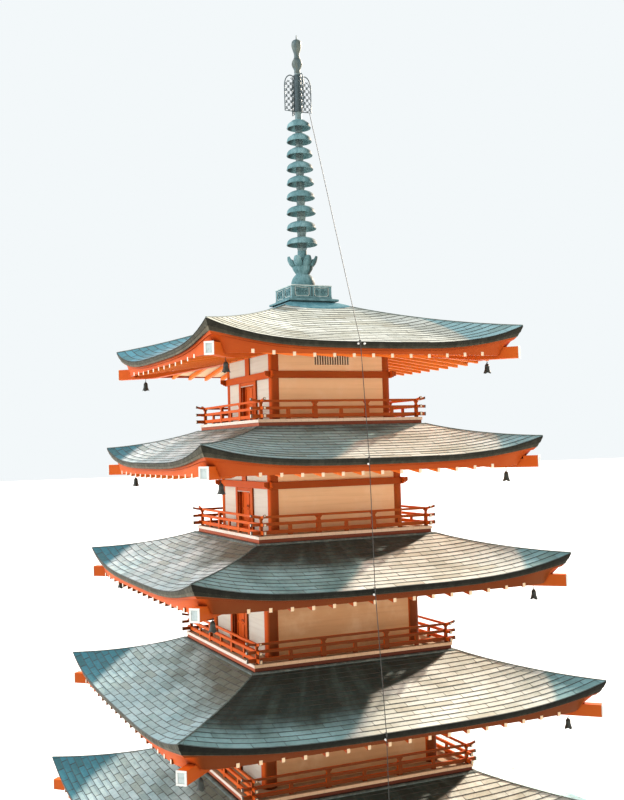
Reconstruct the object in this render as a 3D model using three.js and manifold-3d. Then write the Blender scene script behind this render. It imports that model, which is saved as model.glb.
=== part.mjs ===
// A five-storey timber pagoda with copper-sheet roofs, railed balconies and a bronze spire.
// Millimetres, +Z up. The origin is the centre of the stone base at ground level.
// The door walls face -Y and +Y. The plain walls face +X and -X.

import * as THREE from "three";
import { mergeVertices } from "three/addons/utils/BufferGeometryUtils.js";
import Module from "manifold-3d";

const wasm = await Module();
wasm.setup();

// Driving dimensions of each storey, from the ground up.
// floor is the top of its deck, deckHalf the half-width of that deck,
// columnHalf the half-distance between corner columns, eaveHalf the half-width of its roof,
// eaveZ the roof's edge at mid-side, lift how far that edge rises at the corners,
// rimHalf the half-width where the roof meets the deck above, beamRise the tie beam above the floor,
// rafterDrop the rafter ends' middle below the roof's edge, hipDrop the hip rafters' underside below it.
const STOREYS = [
  {
    floor: 750, deckHalf: 2620, columnHalf: 1950, columnRadius: 165, eaveHalf: 4680, eaveZ: 3190,
    lift: 300, rimHalf: 2400, beamRise: 1820, beamHeight: 160, rafterDrop: 280, hipDrop: 400,
  },
  {
    floor: 4170, deckHalf: 2370, columnHalf: 1740, columnRadius: 150, eaveHalf: 4240, eaveZ: 5600,
    lift: 340, rimHalf: 2155, beamRise: 850, beamHeight: 145, rafterDrop: 220, hipDrop: 330,
  },
  {
    floor: 6560, deckHalf: 2130, columnHalf: 1540, columnRadius: 137, eaveHalf: 3839, eaveZ: 8025,
    lift: 345, rimHalf: 1925, beamRise: 850, beamHeight: 140, rafterDrop: 245, hipDrop: 292,
  },
  {
    floor: 8896, deckHalf: 1892, columnHalf: 1360, columnRadius: 113, eaveHalf: 3517, eaveZ: 10328,
    lift: 324, rimHalf: 1835, beamRise: 864, beamHeight: 140, rafterDrop: 256, hipDrop: 278,
  },
  {
    floor: 11120, deckHalf: 1800, columnHalf: 1230, columnRadius: 108, eaveHalf: 3300, eaveZ: 12474,
    lift: 376, rimHalf: 560, beamRise: 830, beamHeight: 140, rafterDrop: 229, hipDrop: 259,
  },
];
const TOP = STOREYS.length - 1;

// Clearance at cut or curved faces, overlap of joined members, step between members that cross,
// and how far a cutter runs past the face it cuts.
const GAP = 0.3;
const OVERLAP = 12;
const CROSSING_STEP = 3;
const CUT = 1;

// Stone base and steps
const PODIUM_HALF = 2850;
const PODIUM_TOP = 605;
const PODIUM_CAP = 120;
const PODIUM_CAP_REACH = 40;
const STEP_RISE = 200;
const STEP_GOING = 300;
const STEP_HALF_WIDTH = 750;
const STEP_COUNT = 2;

// Decks: a pale upper band and a red lower band under it
const BAND_UPPER = 60;
const BAND_LOWER = 85;
const BAND_SETBACK = 15;
const CURB_THICKNESS = 120;

// Walls, beams and door bays
const WALL_PROUD = 80;
const WALL_THICKNESS = 200;
const BEAM_PROUD = 45;
const BEAM_NOSE = 110;
const PLATE_PROUD = 30;
const DOOR_HALF = 380;
const DOOR_POST = 120;
const DOOR_LINTEL = 70;
const DOOR_THICKNESS = 50;
const DOOR_RECESS = 60;
const DOOR_STILE = 60;
const DOOR_PANEL_DEPTH = 12;
const DOOR_SEAM = 8;
const DOOR_FIT = 2;
const STRUT_WIDTH = 240;
const VENT = { low: -375, high: 405, drop: 64, height: 192 };

// Eaves
const RAFTER_PITCH = 400;
const RAFTER_WIDTH = 66;
const RAFTER_HEIGHT = 82;
const RAFTER_SLOPE = 0.14;
const RAFTER_SETBACK = 170;
const PLAIN_ROW = { shift: 0, corner: 850 };
const DOOR_ROW = { shift: 0.5, corner: 700 };
const CORNER_RISE = 0.25;
const SOFFIT_THICKNESS = 45;
const SOFFIT_OVERRUN = 40;
const PLATE_HEIGHT = 165;
const PLATE_DROP = 15;
const EDGE_BOARD_SETBACK = 90;
const EDGE_BOARD_THICKNESS = 60;
const EDGE_BOARD_DROP = 20;
const EDGE_BOARD_CLEARANCE = 4;
const EDGE_BOARD_CORNER_LEAN = 300;
const HIP_WIDTH = 180;
const HIP_HEIGHT = 230;
const HIP_SETBACK = 70;
const HIP_LEVEL = 700;
const HIP_SLOPE = 0.177;
const LIFT_POWER = 3.6;
const LIFT_FADE = 1.2;

// Roof sheets: the slope is part straight and part curved, and the edge deepens and leans at the corners
const SLOPE_STRAIGHT = 0.75;
const SHEET_THICKNESS = 100;
const FASCIA_MID = 110;
const FASCIA_GROWTH = 102;
const FASCIA_POWER = 9;
const FASCIA_LEAN = 20;
const FASCIA_CORNER_LEAN = 60;
const CORNER_SHARE = 0.88;
const ROOF_SIDE = [-1, -CORNER_SHARE, -0.7, -0.4, 0.4, 0.7, CORNER_SHARE];
const ROOF_ROWS = [0, 0.3, 0.65, 1];
const UNDERSIDE_ROW = 0.5;
const LEDGE = 80;

// Wind bells under the hip rafters
const BELL_SETBACK = 530;
const BELL_HEIGHT = 190;
const BELL_RADIUS = 76;
const BELL_WALL = 10;
const BELL_HOOK = 75;
const BELL_HOOK_RADIUS = 12;
const BELL_SIDES = 6;
const BELL_SHOULDER = { radius: 0.5, drop: 20 };
const BELL_WAIST = { radius: 0.6, rise: 0.4 };
const BELL_CROWN = 30;

// Railings
const RAIL_INSET = 90;
const RAIL_WIDTH = 62;
const RAIL_POST_WIDTH = 100;
const RAIL_TOP = [333, 378];
const RAIL_MID = [190, 245];
const RAIL_LOW = [30, 100];
const RAIL_OVERRUN = 210;
const GROUND_RAIL_GAP = 760;

// Spire
const SPIRE_SIDES = 16;
const SQUARE_SIDES = 4;
const EIGHTH_TURN = 45;
const RING_SIDES = 12;
const COLUMN_SIDES = 8;
const NECK = { half: 500, low: 13570 };
const FLANGE = { half: 570, low: 13630, high: 13675, inner: 458 };
const BOX = { half: 455, low: 13700, high: 13980 };
const BOX_PANELS = [[-396, -47], [47, 396]];
const BOX_PANEL_Z = [13745, 13935];
const BOX_PANEL_DEPTH = 15;
const BOWL = [[266, 13980], [262, 14060], [240, 14150], [205, 14220], [185, 14264]];
const LOTUS_CUP = [
  [150, 14264], [150, 14290], [219, 14410], [212, 14520], [185, 14590], [120, 14625], [100, 14780],
];
const PETALS = 8;
const PETAL_OUTLINE = [
  [110, 14405], [225, 14420], [300, 14500], [352, 14615], [340, 14655], [308, 14640], [262, 14540],
  [205, 14470], [110, 14470],
];
const PETAL_WIDTH = 120;
const SHAFT = [[99, 14780], [93, 15150], [73, 17740], [64, 18660]];
const RING_RIMS = [
  [334, 14908], [322, 15253], [316, 15587], [308, 15921], [296, 16234],
  [290, 16548], [284, 16854], [273, 17156], [263, 17458],
];
const RING_HEIGHT = 165;
const RING_SHOULDER = { inset: 30, rise: 90 };
const RING_CROWN_RADIUS = 150;
const RING_LIP = 20;
const RING_WALL = 45;
const RING_CORE = 50;
const FIN_REACH = 320;
const FIN_LOW = 17820;
const FIN_SHOULDER = 18440;
const FIN_TOP = 18630;
const FIN_CHAMFER = 60;
const FIN_OPENINGS = 3;
const FIN_THICKNESS = 24;
const FIN_BAR = 30;
const FIN_ROOT = 40;
const FIN_COLLAR = 18;
const JEWEL = [
  [64, 18660], [62, 18730], [116, 18870], [95, 18960], [62, 18990], [60, 19110], [90, 19200],
  [111, 19290], [100, 19370], [45, 19412], [14, 19425], [10, 19515],
];

// Lightning conductor
const WIRE_RADIUS = 7;
const WIRE_SIDES = 6;
const WIRE_STANDOFF = 45;
const WIRE_HEAD = [0, 268, FIN_LOW - 4];
const WIRE_AT_EAVES = [-760, -550, -480, -350, -350];
const CLIP_WIDTH = 40;
const CLIP_HEIGHT = 70;

// Solids: closed three.js geometry in and out of the boolean library

function toSolid(geometry) {
  const bare = geometry.clone();
  bare.deleteAttribute("normal");
  bare.deleteAttribute("uv");
  const merged = mergeVertices(bare, 1e-3);
  return new wasm.Manifold(new wasm.Mesh({
    numProp: 3,
    vertProperties: new Float32Array(merged.attributes.position.array),
    triVerts: new Uint32Array(merged.index.array),
  }));
}

function toGeometry(solid) {
  const mesh = solid.getMesh();
  const geometry = new THREE.BufferGeometry();
  geometry.setAttribute("position", new THREE.BufferAttribute(new Float32Array(mesh.vertProperties), 3));
  geometry.setIndex(new THREE.BufferAttribute(new Uint32Array(mesh.triVerts), 1));
  geometry.computeVertexNormals();
  return geometry;
}

function fuse(solids) {
  return solids.reduce((whole, next) => whole.add(next));
}

function carve(solid, cutters) {
  return cutters.reduce((rest, cutter) => rest.subtract(cutter), solid);
}

function block([x0, x1], [y0, y1], [z0, z1]) {
  const geometry = new THREE.BoxGeometry(x1 - x0, y1 - y0, z1 - z0);
  geometry.translate((x0 + x1) / 2, (y0 + y1) / 2, (z0 + z1) / 2);
  return toSolid(geometry);
}

function quarterTurns(solid, turns = [0, 1, 2, 3]) {
  return turns.map((turn) => solid.rotate([0, 0, 90 * turn]));
}

// Like quarterTurns, with the second and fourth copies a little lower, where members cross at corners.
function crossedTurns(solid) {
  return [...quarterTurns(solid, [0, 2]), ...quarterTurns(solid.translate([0, 0, -CROSSING_STEP]), [1, 3])];
}

function squareRing(outer, inner, low, high) {
  return block([-outer, outer], [-outer, outer], [low, high])
    .subtract(block([-inner, inner], [-inner, inner], [low - CUT, high + CUT]));
}

// An outline in (distance from the axis, height), given a thickness and turned to face an azimuth.
function uprightPlate(outline, thickness, azimuth) {
  const shape = new THREE.Shape(outline.map(([x, y]) => new THREE.Vector2(x, y)));
  const geometry = new THREE.ExtrudeGeometry(shape, { depth: thickness, bevelEnabled: false });
  geometry.translate(0, 0, -thickness / 2);
  geometry.rotateX(Math.PI / 2);
  geometry.rotateZ(azimuth);
  return toSolid(geometry);
}

// A turned form from a profile of [radius, height] that runs up the outside.
function turned(profile, sides, position = [0, 0, 0]) {
  const points = profile.map(([r, z]) => new THREE.Vector2(r, z));
  const geometry = new THREE.LatheGeometry(points, sides);
  geometry.rotateX(Math.PI / 2);
  geometry.translate(...position);
  return toSolid(geometry);
}

// A solid through a list of like loops of points, either closed on itself or capped at both ends.
// Each quad is split so that the two halves of a side mirror each other.
function loopSolid(loops, closedOnItself) {
  const count = loops[0].length;
  const points = loops.flat();
  const triangles = [];
  const spans = closedOnItself ? loops.length : loops.length - 1;
  for (let row = 0; row < spans; row += 1) {
    const here = row * count;
    const there = ((row + 1) % loops.length) * count;
    for (let i = 0; i < count; i += 1) {
      const j = (i + 1) % count;
      const secondHalf = i % ROOF_SIDE.length >= ROOF_SIDE.length / 2;
      if (secondHalf) {
        triangles.push(here + i, there + i, here + j, here + j, there + i, there + j);
      } else {
        triangles.push(here + i, there + i, there + j, here + i, there + j, here + j);
      }
    }
  }
  if (!closedOnItself) {
    [0, loops.length - 1].forEach((row) => {
      const centre = new THREE.Vector3();
      loops[row].forEach(([x, y, z]) => centre.add(new THREE.Vector3(x, y, z)));
      centre.divideScalar(count);
      const hub = points.push([centre.x, centre.y, centre.z]) - 1;
      for (let i = 0; i < count; i += 1) {
        const a = row * count + i;
        const b = row * count + ((i + 1) % count);
        triangles.push(...(row === 0 ? [hub, a, b] : [hub, b, a]));
      }
    });
  }
  const geometry = new THREE.BufferGeometry();
  geometry.setAttribute("position", new THREE.BufferAttribute(new Float32Array(points.flat()), 3));
  geometry.setIndex(triangles);
  return toSolid(geometry);
}

// One loop round the four sides, with a distance from the axis and a height for each side fraction.
function squareLoop(distanceAt, heightAt) {
  const place = [
    (d, w) => [d, w],
    (d, w) => [-w, d],
    (d, w) => [-d, -w],
    (d, w) => [w, -d],
  ];
  return place.flatMap((turn) => ROOF_SIDE.map((fraction) => {
    const share = Math.abs(fraction);
    const distance = distanceAt(share);
    const [x, y] = turn(distance, fraction * distance);
    return [x, y, heightAt(share)];
  }));
}

// A sheet of even vertical thickness on a flat convex outline of points, listed anticlockwise.
function slab(outline, thickness) {
  const lower = outline;
  const upper = outline.map(([x, y, z]) => [x, y, z + thickness]);
  const count = outline.length;
  const triangles = [];
  for (let i = 1; i + 1 < count; i += 1) {
    triangles.push(0, i + 1, i, count, count + i, count + i + 1);
  }
  for (let i = 0; i < count; i += 1) {
    const j = (i + 1) % count;
    triangles.push(i, j, count + j, i, count + j, count + i);
  }
  const geometry = new THREE.BufferGeometry();
  const points = [...lower, ...upper].flat();
  geometry.setAttribute("position", new THREE.BufferAttribute(new Float32Array(points), 3));
  geometry.setIndex(triangles);
  return toSolid(geometry);
}

// Heights that several pieces share

const wallHalf = (s) => s.columnHalf + WALL_PROUD;
const deckUnderside = (s) => s.floor - BAND_UPPER - BAND_LOWER;
const rafterReach = (s) => s.eaveHalf - RAFTER_SETBACK;
const rafterEndTop = (s) => s.eaveZ - s.rafterDrop + RAFTER_HEIGHT / 2;
const wallTop = (s) => (
  rafterEndTop(s) - RAFTER_HEIGHT + RAFTER_SLOPE * (rafterReach(s) - wallHalf(s)) - PLATE_DROP
);

// The boarded underside of the eaves: a flat slope off each wall, and past the wall's ends
// a flat triangle that rises towards the corner.
function soffitZ(s, distance, along) {
  const start = wallHalf(s);
  const reach = rafterReach(s);
  const rise = CORNER_RISE * s.lift * Math.max(0, Math.abs(along) - start) / (reach - start);
  return rafterEndTop(s) + RAFTER_SLOPE * (reach - distance) + rise;
}

const rimZ = (s) => (s === STOREYS[TOP] ? NECK.low : deckUnderside(STOREYS[STOREYS.indexOf(s) + 1]));

function roofZ(s, distance, sideShare) {
  const t = (distance - s.rimHalf) / (s.eaveHalf - s.rimHalf);
  const fall = 1 - t;
  const lift = s.lift * sideShare ** LIFT_POWER * t ** LIFT_FADE;
  const climb = SLOPE_STRAIGHT * fall + (1 - SLOPE_STRAIGHT) * fall ** 2;
  return s.eaveZ + (rimZ(s) - s.eaveZ) * climb + lift;
}

// Half-width of a lower roof's inner edge, which runs in under the deck above.
const ledgeHalf = (s) => STOREYS[STOREYS.indexOf(s) + 1].deckHalf - LEDGE;

const fasciaHeight = (sideShare) => FASCIA_MID + FASCIA_GROWTH * sideShare ** FASCIA_POWER;
const fasciaLean = (sideShare) => FASCIA_LEAN + FASCIA_CORNER_LEAN * sideShare ** FASCIA_POWER;
const boardLean = (sideShare) => (
  EDGE_BOARD_CORNER_LEAN * Math.max(0, sideShare - CORNER_SHARE) / (1 - CORNER_SHARE)
);
const fasciaLow = (s, sideShare) => roofZ(s, s.eaveHalf, sideShare) - fasciaHeight(sideShare);

// The underside of the roof between its edge and the middle of its slope.
function roofUndersideZ(s, distance, sideShare) {
  const edge = s.eaveHalf - fasciaLean(sideShare);
  const middle = s.rimHalf + UNDERSIDE_ROW * (s.eaveHalf - s.rimHalf);
  const edgeZ = fasciaLow(s, sideShare);
  const middleZ = roofZ(s, middle, sideShare) - SHEET_THICKNESS;
  return edgeZ + (edge - distance) / (edge - middle) * (middleZ - edgeZ);
}

const boardTop = (s, distance, sideShare) => roofUndersideZ(s, distance, sideShare) - EDGE_BOARD_CLEARANCE;
const boardLow = (s) => soffitZ(s, rafterReach(s), 0) - EDGE_BOARD_DROP;

// The edge boards lean in towards the corners. This is how far from the axis the middle of
// their thickness stands at the corner itself, at a height.
function boardCorner(s, z) {
  const middle = s.eaveHalf - EDGE_BOARD_SETBACK - EDGE_BOARD_THICKNESS / 2;
  const top = boardTop(s, middle, 1);
  return middle - EDGE_BOARD_CORNER_LEAN * (top - z) / (top - boardLow(s));
}

// Sub-parts

function podium() {
  const foot = block([-PODIUM_HALF, PODIUM_HALF], [-PODIUM_HALF, PODIUM_HALF], [0, PODIUM_TOP - PODIUM_CAP]);
  const capHalf = PODIUM_HALF + PODIUM_CAP_REACH;
  const cap = block([-capHalf, capHalf], [-capHalf, capHalf], [PODIUM_TOP - PODIUM_CAP, PODIUM_TOP]);
  return foot.add(cap);
}

function steps() {
  const back = -(PODIUM_HALF + GAP);
  const flight = [];
  for (let tread = 1; tread <= STEP_COUNT; tread += 1) {
    const front = back - STEP_GOING * (STEP_COUNT + 1 - tread);
    flight.push(block([-STEP_HALF_WIDTH, STEP_HALF_WIDTH], [front, back], [0, STEP_RISE * tread]));
  }
  return fuse(flight);
}

function deck(s, index) {
  const low = deckUnderside(s);
  const upper = block(
    [-s.deckHalf, s.deckHalf], [-s.deckHalf, s.deckHalf], [s.floor - BAND_UPPER, s.floor],
  );
  const half = s.deckHalf - BAND_SETBACK;
  const lower = block([-half, half], [-half, half], [low, s.floor - BAND_UPPER]);
  const plate = upper.add(lower);
  if (index === 0) {
    return plate;
  }
  const below = STOREYS[index - 1];
  const curbHalf = wallHalf(below);
  const curbLow = wallTop(below) + PLATE_HEIGHT;
  return plate.add(squareRing(curbHalf, curbHalf - CURB_THICKNESS, curbLow, low + OVERLAP));
}

function cornerColumns(s, clearance, low, high) {
  const column = new THREE.CylinderGeometry(
    s.columnRadius + clearance, s.columnRadius + clearance, high - low, COLUMN_SIDES,
  );
  column.rotateX(Math.PI / 2);
  column.translate(s.columnHalf, s.columnHalf, (low + high) / 2);
  return quarterTurns(toSolid(column));
}

function doorTop(s) {
  return s.floor + s.beamRise - DOOR_LINTEL;
}

function walls(s, index) {
  const outer = wallHalf(s);
  const top = wallTop(s);
  const ring = squareRing(outer, outer - WALL_THICKNESS, s.floor, top);
  const corner = block(
    [s.columnHalf, outer + CUT], [s.columnHalf, outer + CUT], [s.floor - CUT, top + CUT],
  );
  const doorways = block(
    [-DOOR_HALF, DOOR_HALF], [-outer - CUT, outer + CUT], [s.floor - CUT, doorTop(s)],
  );
  const cutters = [
    ...cornerColumns(s, GAP, s.floor - CUT, top + CUT),
    ...quarterTurns(corner),
    doorways,
  ];
  if (index === TOP) {
    const high = s.eaveZ - VENT.drop;
    const vent = block([0, outer + CUT], [VENT.low, VENT.high], [high - VENT.height, high]);
    cutters.push(...quarterTurns(vent, [0, 2]));
  }
  return carve(ring, cutters);
}

function frameOf(s) {
  const outer = wallHalf(s);
  const top = wallTop(s);
  const beamLow = s.floor + s.beamRise;
  const beamHigh = beamLow + s.beamHeight;
  const face = outer + GAP;
  const beamOut = outer + BEAM_PROUD;
  const noseEnd = beamOut + BEAM_NOSE;
  const tieBeam = block([face, beamOut], [-noseEnd, noseEnd], [beamLow, beamHigh]);
  const postOuter = DOOR_HALF + DOOR_POST;
  const bays = [-1, 1].map((side) => block(
    [Math.min(side * DOOR_HALF, side * postOuter), Math.max(side * DOOR_HALF, side * postOuter)],
    [-beamOut, -face], [s.floor, beamLow + OVERLAP],
  ));
  const lintel = block(
    [-DOOR_HALF - OVERLAP, DOOR_HALF + OVERLAP], [-beamOut, -face], [doorTop(s), beamLow + OVERLAP],
  );
  const strut = block(
    [-STRUT_WIDTH / 2, STRUT_WIDTH / 2], [-outer - PLATE_PROUD, -face], [beamHigh - OVERLAP, top],
  );
  const doorFace = fuse([...bays, lintel, strut]);
  return fuse([
    ...cornerColumns(s, 0, s.floor, top),
    ...crossedTurns(tieBeam),
    ...quarterTurns(doorFace, [0, 2]),
  ]);
}

function door(s) {
  const outer = wallHalf(s);
  const half = DOOR_HALF - DOOR_FIT;
  const front = -outer + DOOR_RECESS;
  const high = doorTop(s) - DOOR_FIT;
  const leaf = block([-half, half], [front, front + DOOR_THICKNESS], [s.floor, high]);
  const sunk = [front - CUT, front + DOOR_PANEL_DEPTH];
  const seam = block([-DOOR_SEAM / 2, DOOR_SEAM / 2], sunk, [s.floor - CUT, high + CUT]);
  const panels = [-1, 1].map((side) => {
    const inner = side * DOOR_STILE;
    const far = side * (half - DOOR_STILE);
    return block(
      [Math.min(inner, far), Math.max(inner, far)], sunk, [s.floor + DOOR_STILE, high - DOOR_STILE],
    );
  });
  return carve(leaf, [seam, ...panels]);
}

// One row of parallel rafters on the +X side, each running square to the wall or out of the hip.
function rafterRow(s, { shift, corner }) {
  const reach = rafterReach(s);
  const start = wallHalf(s);
  const last = Math.floor((s.eaveHalf - corner) / RAFTER_PITCH - shift) + shift;
  const row = [];
  for (let i = -last; i <= last; i += 1) {
    const y = i * RAFTER_PITCH;
    const inner = Math.abs(y) < start ? start : Math.abs(y) + RAFTER_WIDTH;
    const top = (d) => soffitZ(s, d, y) + OVERLAP;
    const outline = [
      [inner, top(inner) - RAFTER_HEIGHT - OVERLAP],
      [reach, top(reach) - RAFTER_HEIGHT - OVERLAP],
      [reach, top(reach)],
      [inner, top(inner)],
    ];
    row.push(uprightPlate(outline, RAFTER_WIDTH, 0).translate([0, y, 0]));
  }
  return row;
}

// The rafter under each hip, level out to the bell and rising from there to the wall.
function hipRafter(s) {
  const diagonal = Math.SQRT2;
  const low = s.eaveZ - s.hipDrop;
  const start = s.columnHalf + (s.columnRadius + GAP) / diagonal;
  const level = s.eaveHalf - HIP_LEVEL;
  const end = s.eaveHalf - HIP_SETBACK;
  const reach = rafterReach(s);
  const shoulder = boardCorner(s, (low + HIP_HEIGHT + soffitZ(s, reach, reach)) / 2);
  const outline = [
    [start, low + HIP_SLOPE * (level - start)],
    [level, low],
    [end, low],
    [end, low + HIP_HEIGHT],
    [shoulder, low + HIP_HEIGHT],
    [shoulder, soffitZ(s, shoulder, shoulder) + OVERLAP],
    [start, soffitZ(s, start, start) + OVERLAP],
  ];
  const along = outline.map(([d, z]) => [d * diagonal, z]);
  return uprightPlate(along, HIP_WIDTH, Math.PI / 4);
}

function windBell(s) {
  const hang = s.eaveZ - s.hipDrop;
  const crown = hang - BELL_HOOK;
  const lip = crown - BELL_HEIGHT;
  const place = s.eaveHalf - BELL_SETBACK;
  return turned([
    [0, crown - BELL_CROWN],
    [BELL_RADIUS - BELL_WALL, lip],
    [BELL_RADIUS, lip],
    [BELL_WAIST.radius * BELL_RADIUS, lip + BELL_WAIST.rise * BELL_HEIGHT],
    [BELL_SHOULDER.radius * BELL_RADIUS, crown - BELL_SHOULDER.drop],
    [BELL_HOOK_RADIUS, crown],
    [BELL_HOOK_RADIUS, hang + OVERLAP],
    [0, hang + OVERLAP],
  ], BELL_SIDES, [place, place, 0]);
}

// The flat boards over the rafters of the +X side: one over the wall's length, one out to each corner.
function soffitSide(s) {
  const start = wallHalf(s);
  const reach = rafterReach(s) + SOFFIT_OVERRUN;
  const tip = boardCorner(s, soffitZ(s, reach, reach) + SOFFIT_THICKNESS / 2);
  const bend = CORNER_SHARE * reach;
  const at = (d, y) => [d, y, soffitZ(s, d, y)];
  const middle = [at(start, -start), at(reach, -start), at(reach, start), at(start, start)];
  const right = [at(start, start), at(reach, start), at(reach, bend), at(tip, tip)];
  const left = [at(start, -start), at(tip, -tip), at(reach, -bend), at(reach, -start)];
  return [middle, right, left].map((outline) => slab(outline, SOFFIT_THICKNESS));
}

function eaves(s) {
  const start = wallHalf(s);
  const plate = squareRing(
    start + PLATE_PROUD, start - CURB_THICKNESS, wallTop(s), wallTop(s) + PLATE_HEIGHT,
  );
  const boardOut = s.eaveHalf - EDGE_BOARD_SETBACK;
  const boardIn = boardOut - EDGE_BOARD_THICKNESS;
  const edgeBoard = loopSolid([
    squareLoop(() => boardIn, (f) => boardTop(s, boardIn, f)),
    squareLoop(() => boardOut, (f) => boardTop(s, boardOut, f)),
    squareLoop((f) => boardOut - boardLean(f), () => boardLow(s)),
    squareLoop((f) => boardIn - boardLean(f), () => boardLow(s)),
  ], true);
  return fuse([
    plate,
    edgeBoard,
    ...quarterTurns(fuse([...soffitSide(s), ...rafterRow(s, PLAIN_ROW)]), [0, 2]),
    ...quarterTurns(fuse([...soffitSide(s), ...rafterRow(s, DOOR_ROW)]), [1, 3]),
    ...quarterTurns(fuse([hipRafter(s), windBell(s)])),
  ]);
}

function roof(s, index) {
  const span = s.eaveHalf - s.rimHalf;
  const rowLoop = (t, drop) => {
    const d = s.rimHalf + t * span;
    return squareLoop(() => d, (f) => roofZ(s, d, f) - drop);
  };
  const ledge = (drop) => squareLoop(() => ledgeHalf(s), () => rimZ(s) - drop);
  const fascia = squareLoop((f) => s.eaveHalf - fasciaLean(f), (f) => fasciaLow(s, f));
  const top = ROOF_ROWS.map((t) => rowLoop(t, 0));
  const underside = [rowLoop(UNDERSIDE_ROW, SHEET_THICKNESS), rowLoop(0, SHEET_THICKNESS)];
  return index === TOP
    ? loopSolid([...top, fascia, ...underside], false)
    : loopSolid([ledge(0), ...top, fascia, ...underside, ledge(SHEET_THICKNESS)], true);
}

// One side of the balcony railing, on the -Y side, with its rails run past both corners.
// The post at its right-hand corner belongs to it, and the next side brings the other.
function railingSide(s, opening) {
  const line = s.deckHalf - RAIL_INSET;
  const run = line + RAIL_OVERRUN;
  const half = RAIL_WIDTH / 2;
  const at = ([low, high]) => [s.floor + low, s.floor + high];
  const y = [-line - half, -line + half];
  const spansTo = (end) => (opening ? [[-end, -opening], [opening, end]] : [[-end, end]]);
  const rails = [[RAIL_TOP, run], [RAIL_MID, run], [RAIL_LOW, line]].flatMap(([rail, end]) => (
    spansTo(end).map((span) => block(span, y, at(rail)))
  ));
  const postHalf = RAIL_POST_WIDTH / 2;
  const inner = opening ? opening + postHalf : line / 3;
  const posts = [[-inner, postHalf], [inner, postHalf], [line, half]].map(([x, reach]) => block(
    [x - reach, x + reach], y, [s.floor, s.floor + RAIL_TOP[1]],
  ));
  return fuse([...rails, ...posts]);
}

function railing(s) {
  return fuse(quarterTurns(railingSide(s, 0)));
}

// The ground storey's railing is open at the steps, so it is two C-shaped halves.
function groundRailing(s, side) {
  const all = fuse([
    ...quarterTurns(railingSide(s, GROUND_RAIL_GAP), [0, 2]),
    ...quarterTurns(railingSide(s, 0), [1, 3]),
  ]);
  const reach = s.eaveHalf;
  const half = block([Math.min(0, side * reach), Math.max(0, side * reach)], [-reach, reach], [0, s.eaveZ]);
  return all.intersect(half);
}

// A box on a neck, with a flange between them whose upper face slopes.
function spireBox() {
  const neck = block([-NECK.half, NECK.half], [-NECK.half, NECK.half], [NECK.low, FLANGE.low + OVERLAP]);
  const diagonal = Math.SQRT2;
  const flange = closedTurned([
    [FLANGE.half * diagonal, FLANGE.low],
    [FLANGE.half * diagonal, FLANGE.high],
    [FLANGE.inner * diagonal, BOX.low],
  ], SQUARE_SIDES).rotate([0, 0, EIGHTH_TURN]);
  const body = block([-BOX.half, BOX.half], [-BOX.half, BOX.half], [BOX.low - OVERLAP, BOX.high]);
  const recesses = BOX_PANELS.map((panel) => block(
    [BOX.half - BOX_PANEL_DEPTH, BOX.half + CUT], panel, BOX_PANEL_Z,
  ));
  const cutters = quarterTurns(fuse(recesses));
  return carve(fuse([neck, flange, body]), cutters);
}

// A turned form closed on the axis at both ends of its profile.
function closedTurned(profile, sides) {
  return turned([[0, profile[0][1]], ...profile, [0, profile.at(-1)[1]]], sides);
}

function lotus() {
  const petals = [];
  for (let i = 0; i < PETALS; i += 1) {
    petals.push(uprightPlate(PETAL_OUTLINE, PETAL_WIDTH, (i + 0.5) * 2 * Math.PI / PETALS));
  }
  return fuse([closedTurned(LOTUS_CUP, SPIRE_SIDES), ...petals]);
}

// A domed ring with a flared lip, hollow underneath, on the shaft.
function spireRing(rim, lipZ) {
  const top = lipZ + RING_HEIGHT;
  return turned([
    [RING_CORE, top - RING_WALL],
    [rim - RING_LIP, lipZ],
    [rim, lipZ + RING_LIP / 2],
    [rim - RING_SHOULDER.inset, lipZ + RING_SHOULDER.rise],
    [RING_CROWN_RADIUS, top],
    [RING_CORE, top],
    [RING_CORE, top - RING_WALL],
  ], RING_SIDES);
}

function ringMast() {
  const shaft = closedTurned(SHAFT, RING_SIDES);
  return fuse([shaft, ...RING_RIMS.map(([rim, z]) => spireRing(rim, z))]);
}

// Four openwork fins round the shaft: a frame with a cut-off outer shoulder and cross bars.
function waterFins() {
  const [[lowRadius, lowZ], [highRadius, highZ]] = SHAFT.slice(-2);
  const shaftAt = (z) => lowRadius + (z - lowZ) * (highRadius - lowRadius) / (highZ - lowZ);
  const collarAt = (z) => shaftAt(z) + FIN_COLLAR;
  const outline = [
    [FIN_ROOT, FIN_LOW],
    [FIN_REACH, FIN_LOW],
    [FIN_REACH, FIN_SHOULDER],
    [FIN_REACH - FIN_CHAMFER, FIN_TOP - FIN_CHAMFER],
    [collarAt(FIN_TOP) + FIN_COLLAR, FIN_TOP],
    [FIN_ROOT, FIN_TOP],
  ];
  const fin = uprightPlate(outline, FIN_THICKNESS, 0);
  const holeLow = FIN_LOW + FIN_BAR;
  const holeStep = (FIN_SHOULDER - holeLow) / FIN_OPENINGS;
  const holes = [];
  for (let i = 0; i < FIN_OPENINGS; i += 1) {
    const z = [holeLow + i * holeStep, holeLow + (i + 1) * holeStep - FIN_BAR];
    const root = collarAt(FIN_LOW) + FIN_COLLAR;
    holes.push(block([root, FIN_REACH - FIN_BAR], [-FIN_THICKNESS, FIN_THICKNESS], z));
  }
  const collar = closedTurned([[collarAt(FIN_LOW), FIN_LOW], [collarAt(FIN_TOP), FIN_TOP]], RING_SIDES);
  const core = closedTurned(
    [[shaftAt(FIN_LOW) + GAP, FIN_LOW - CUT], [shaftAt(FIN_TOP) + GAP, FIN_TOP + CUT]], RING_SIDES,
  );
  return fuse([collar, ...quarterTurns(carve(fin, holes))]).subtract(core);
}

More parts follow.
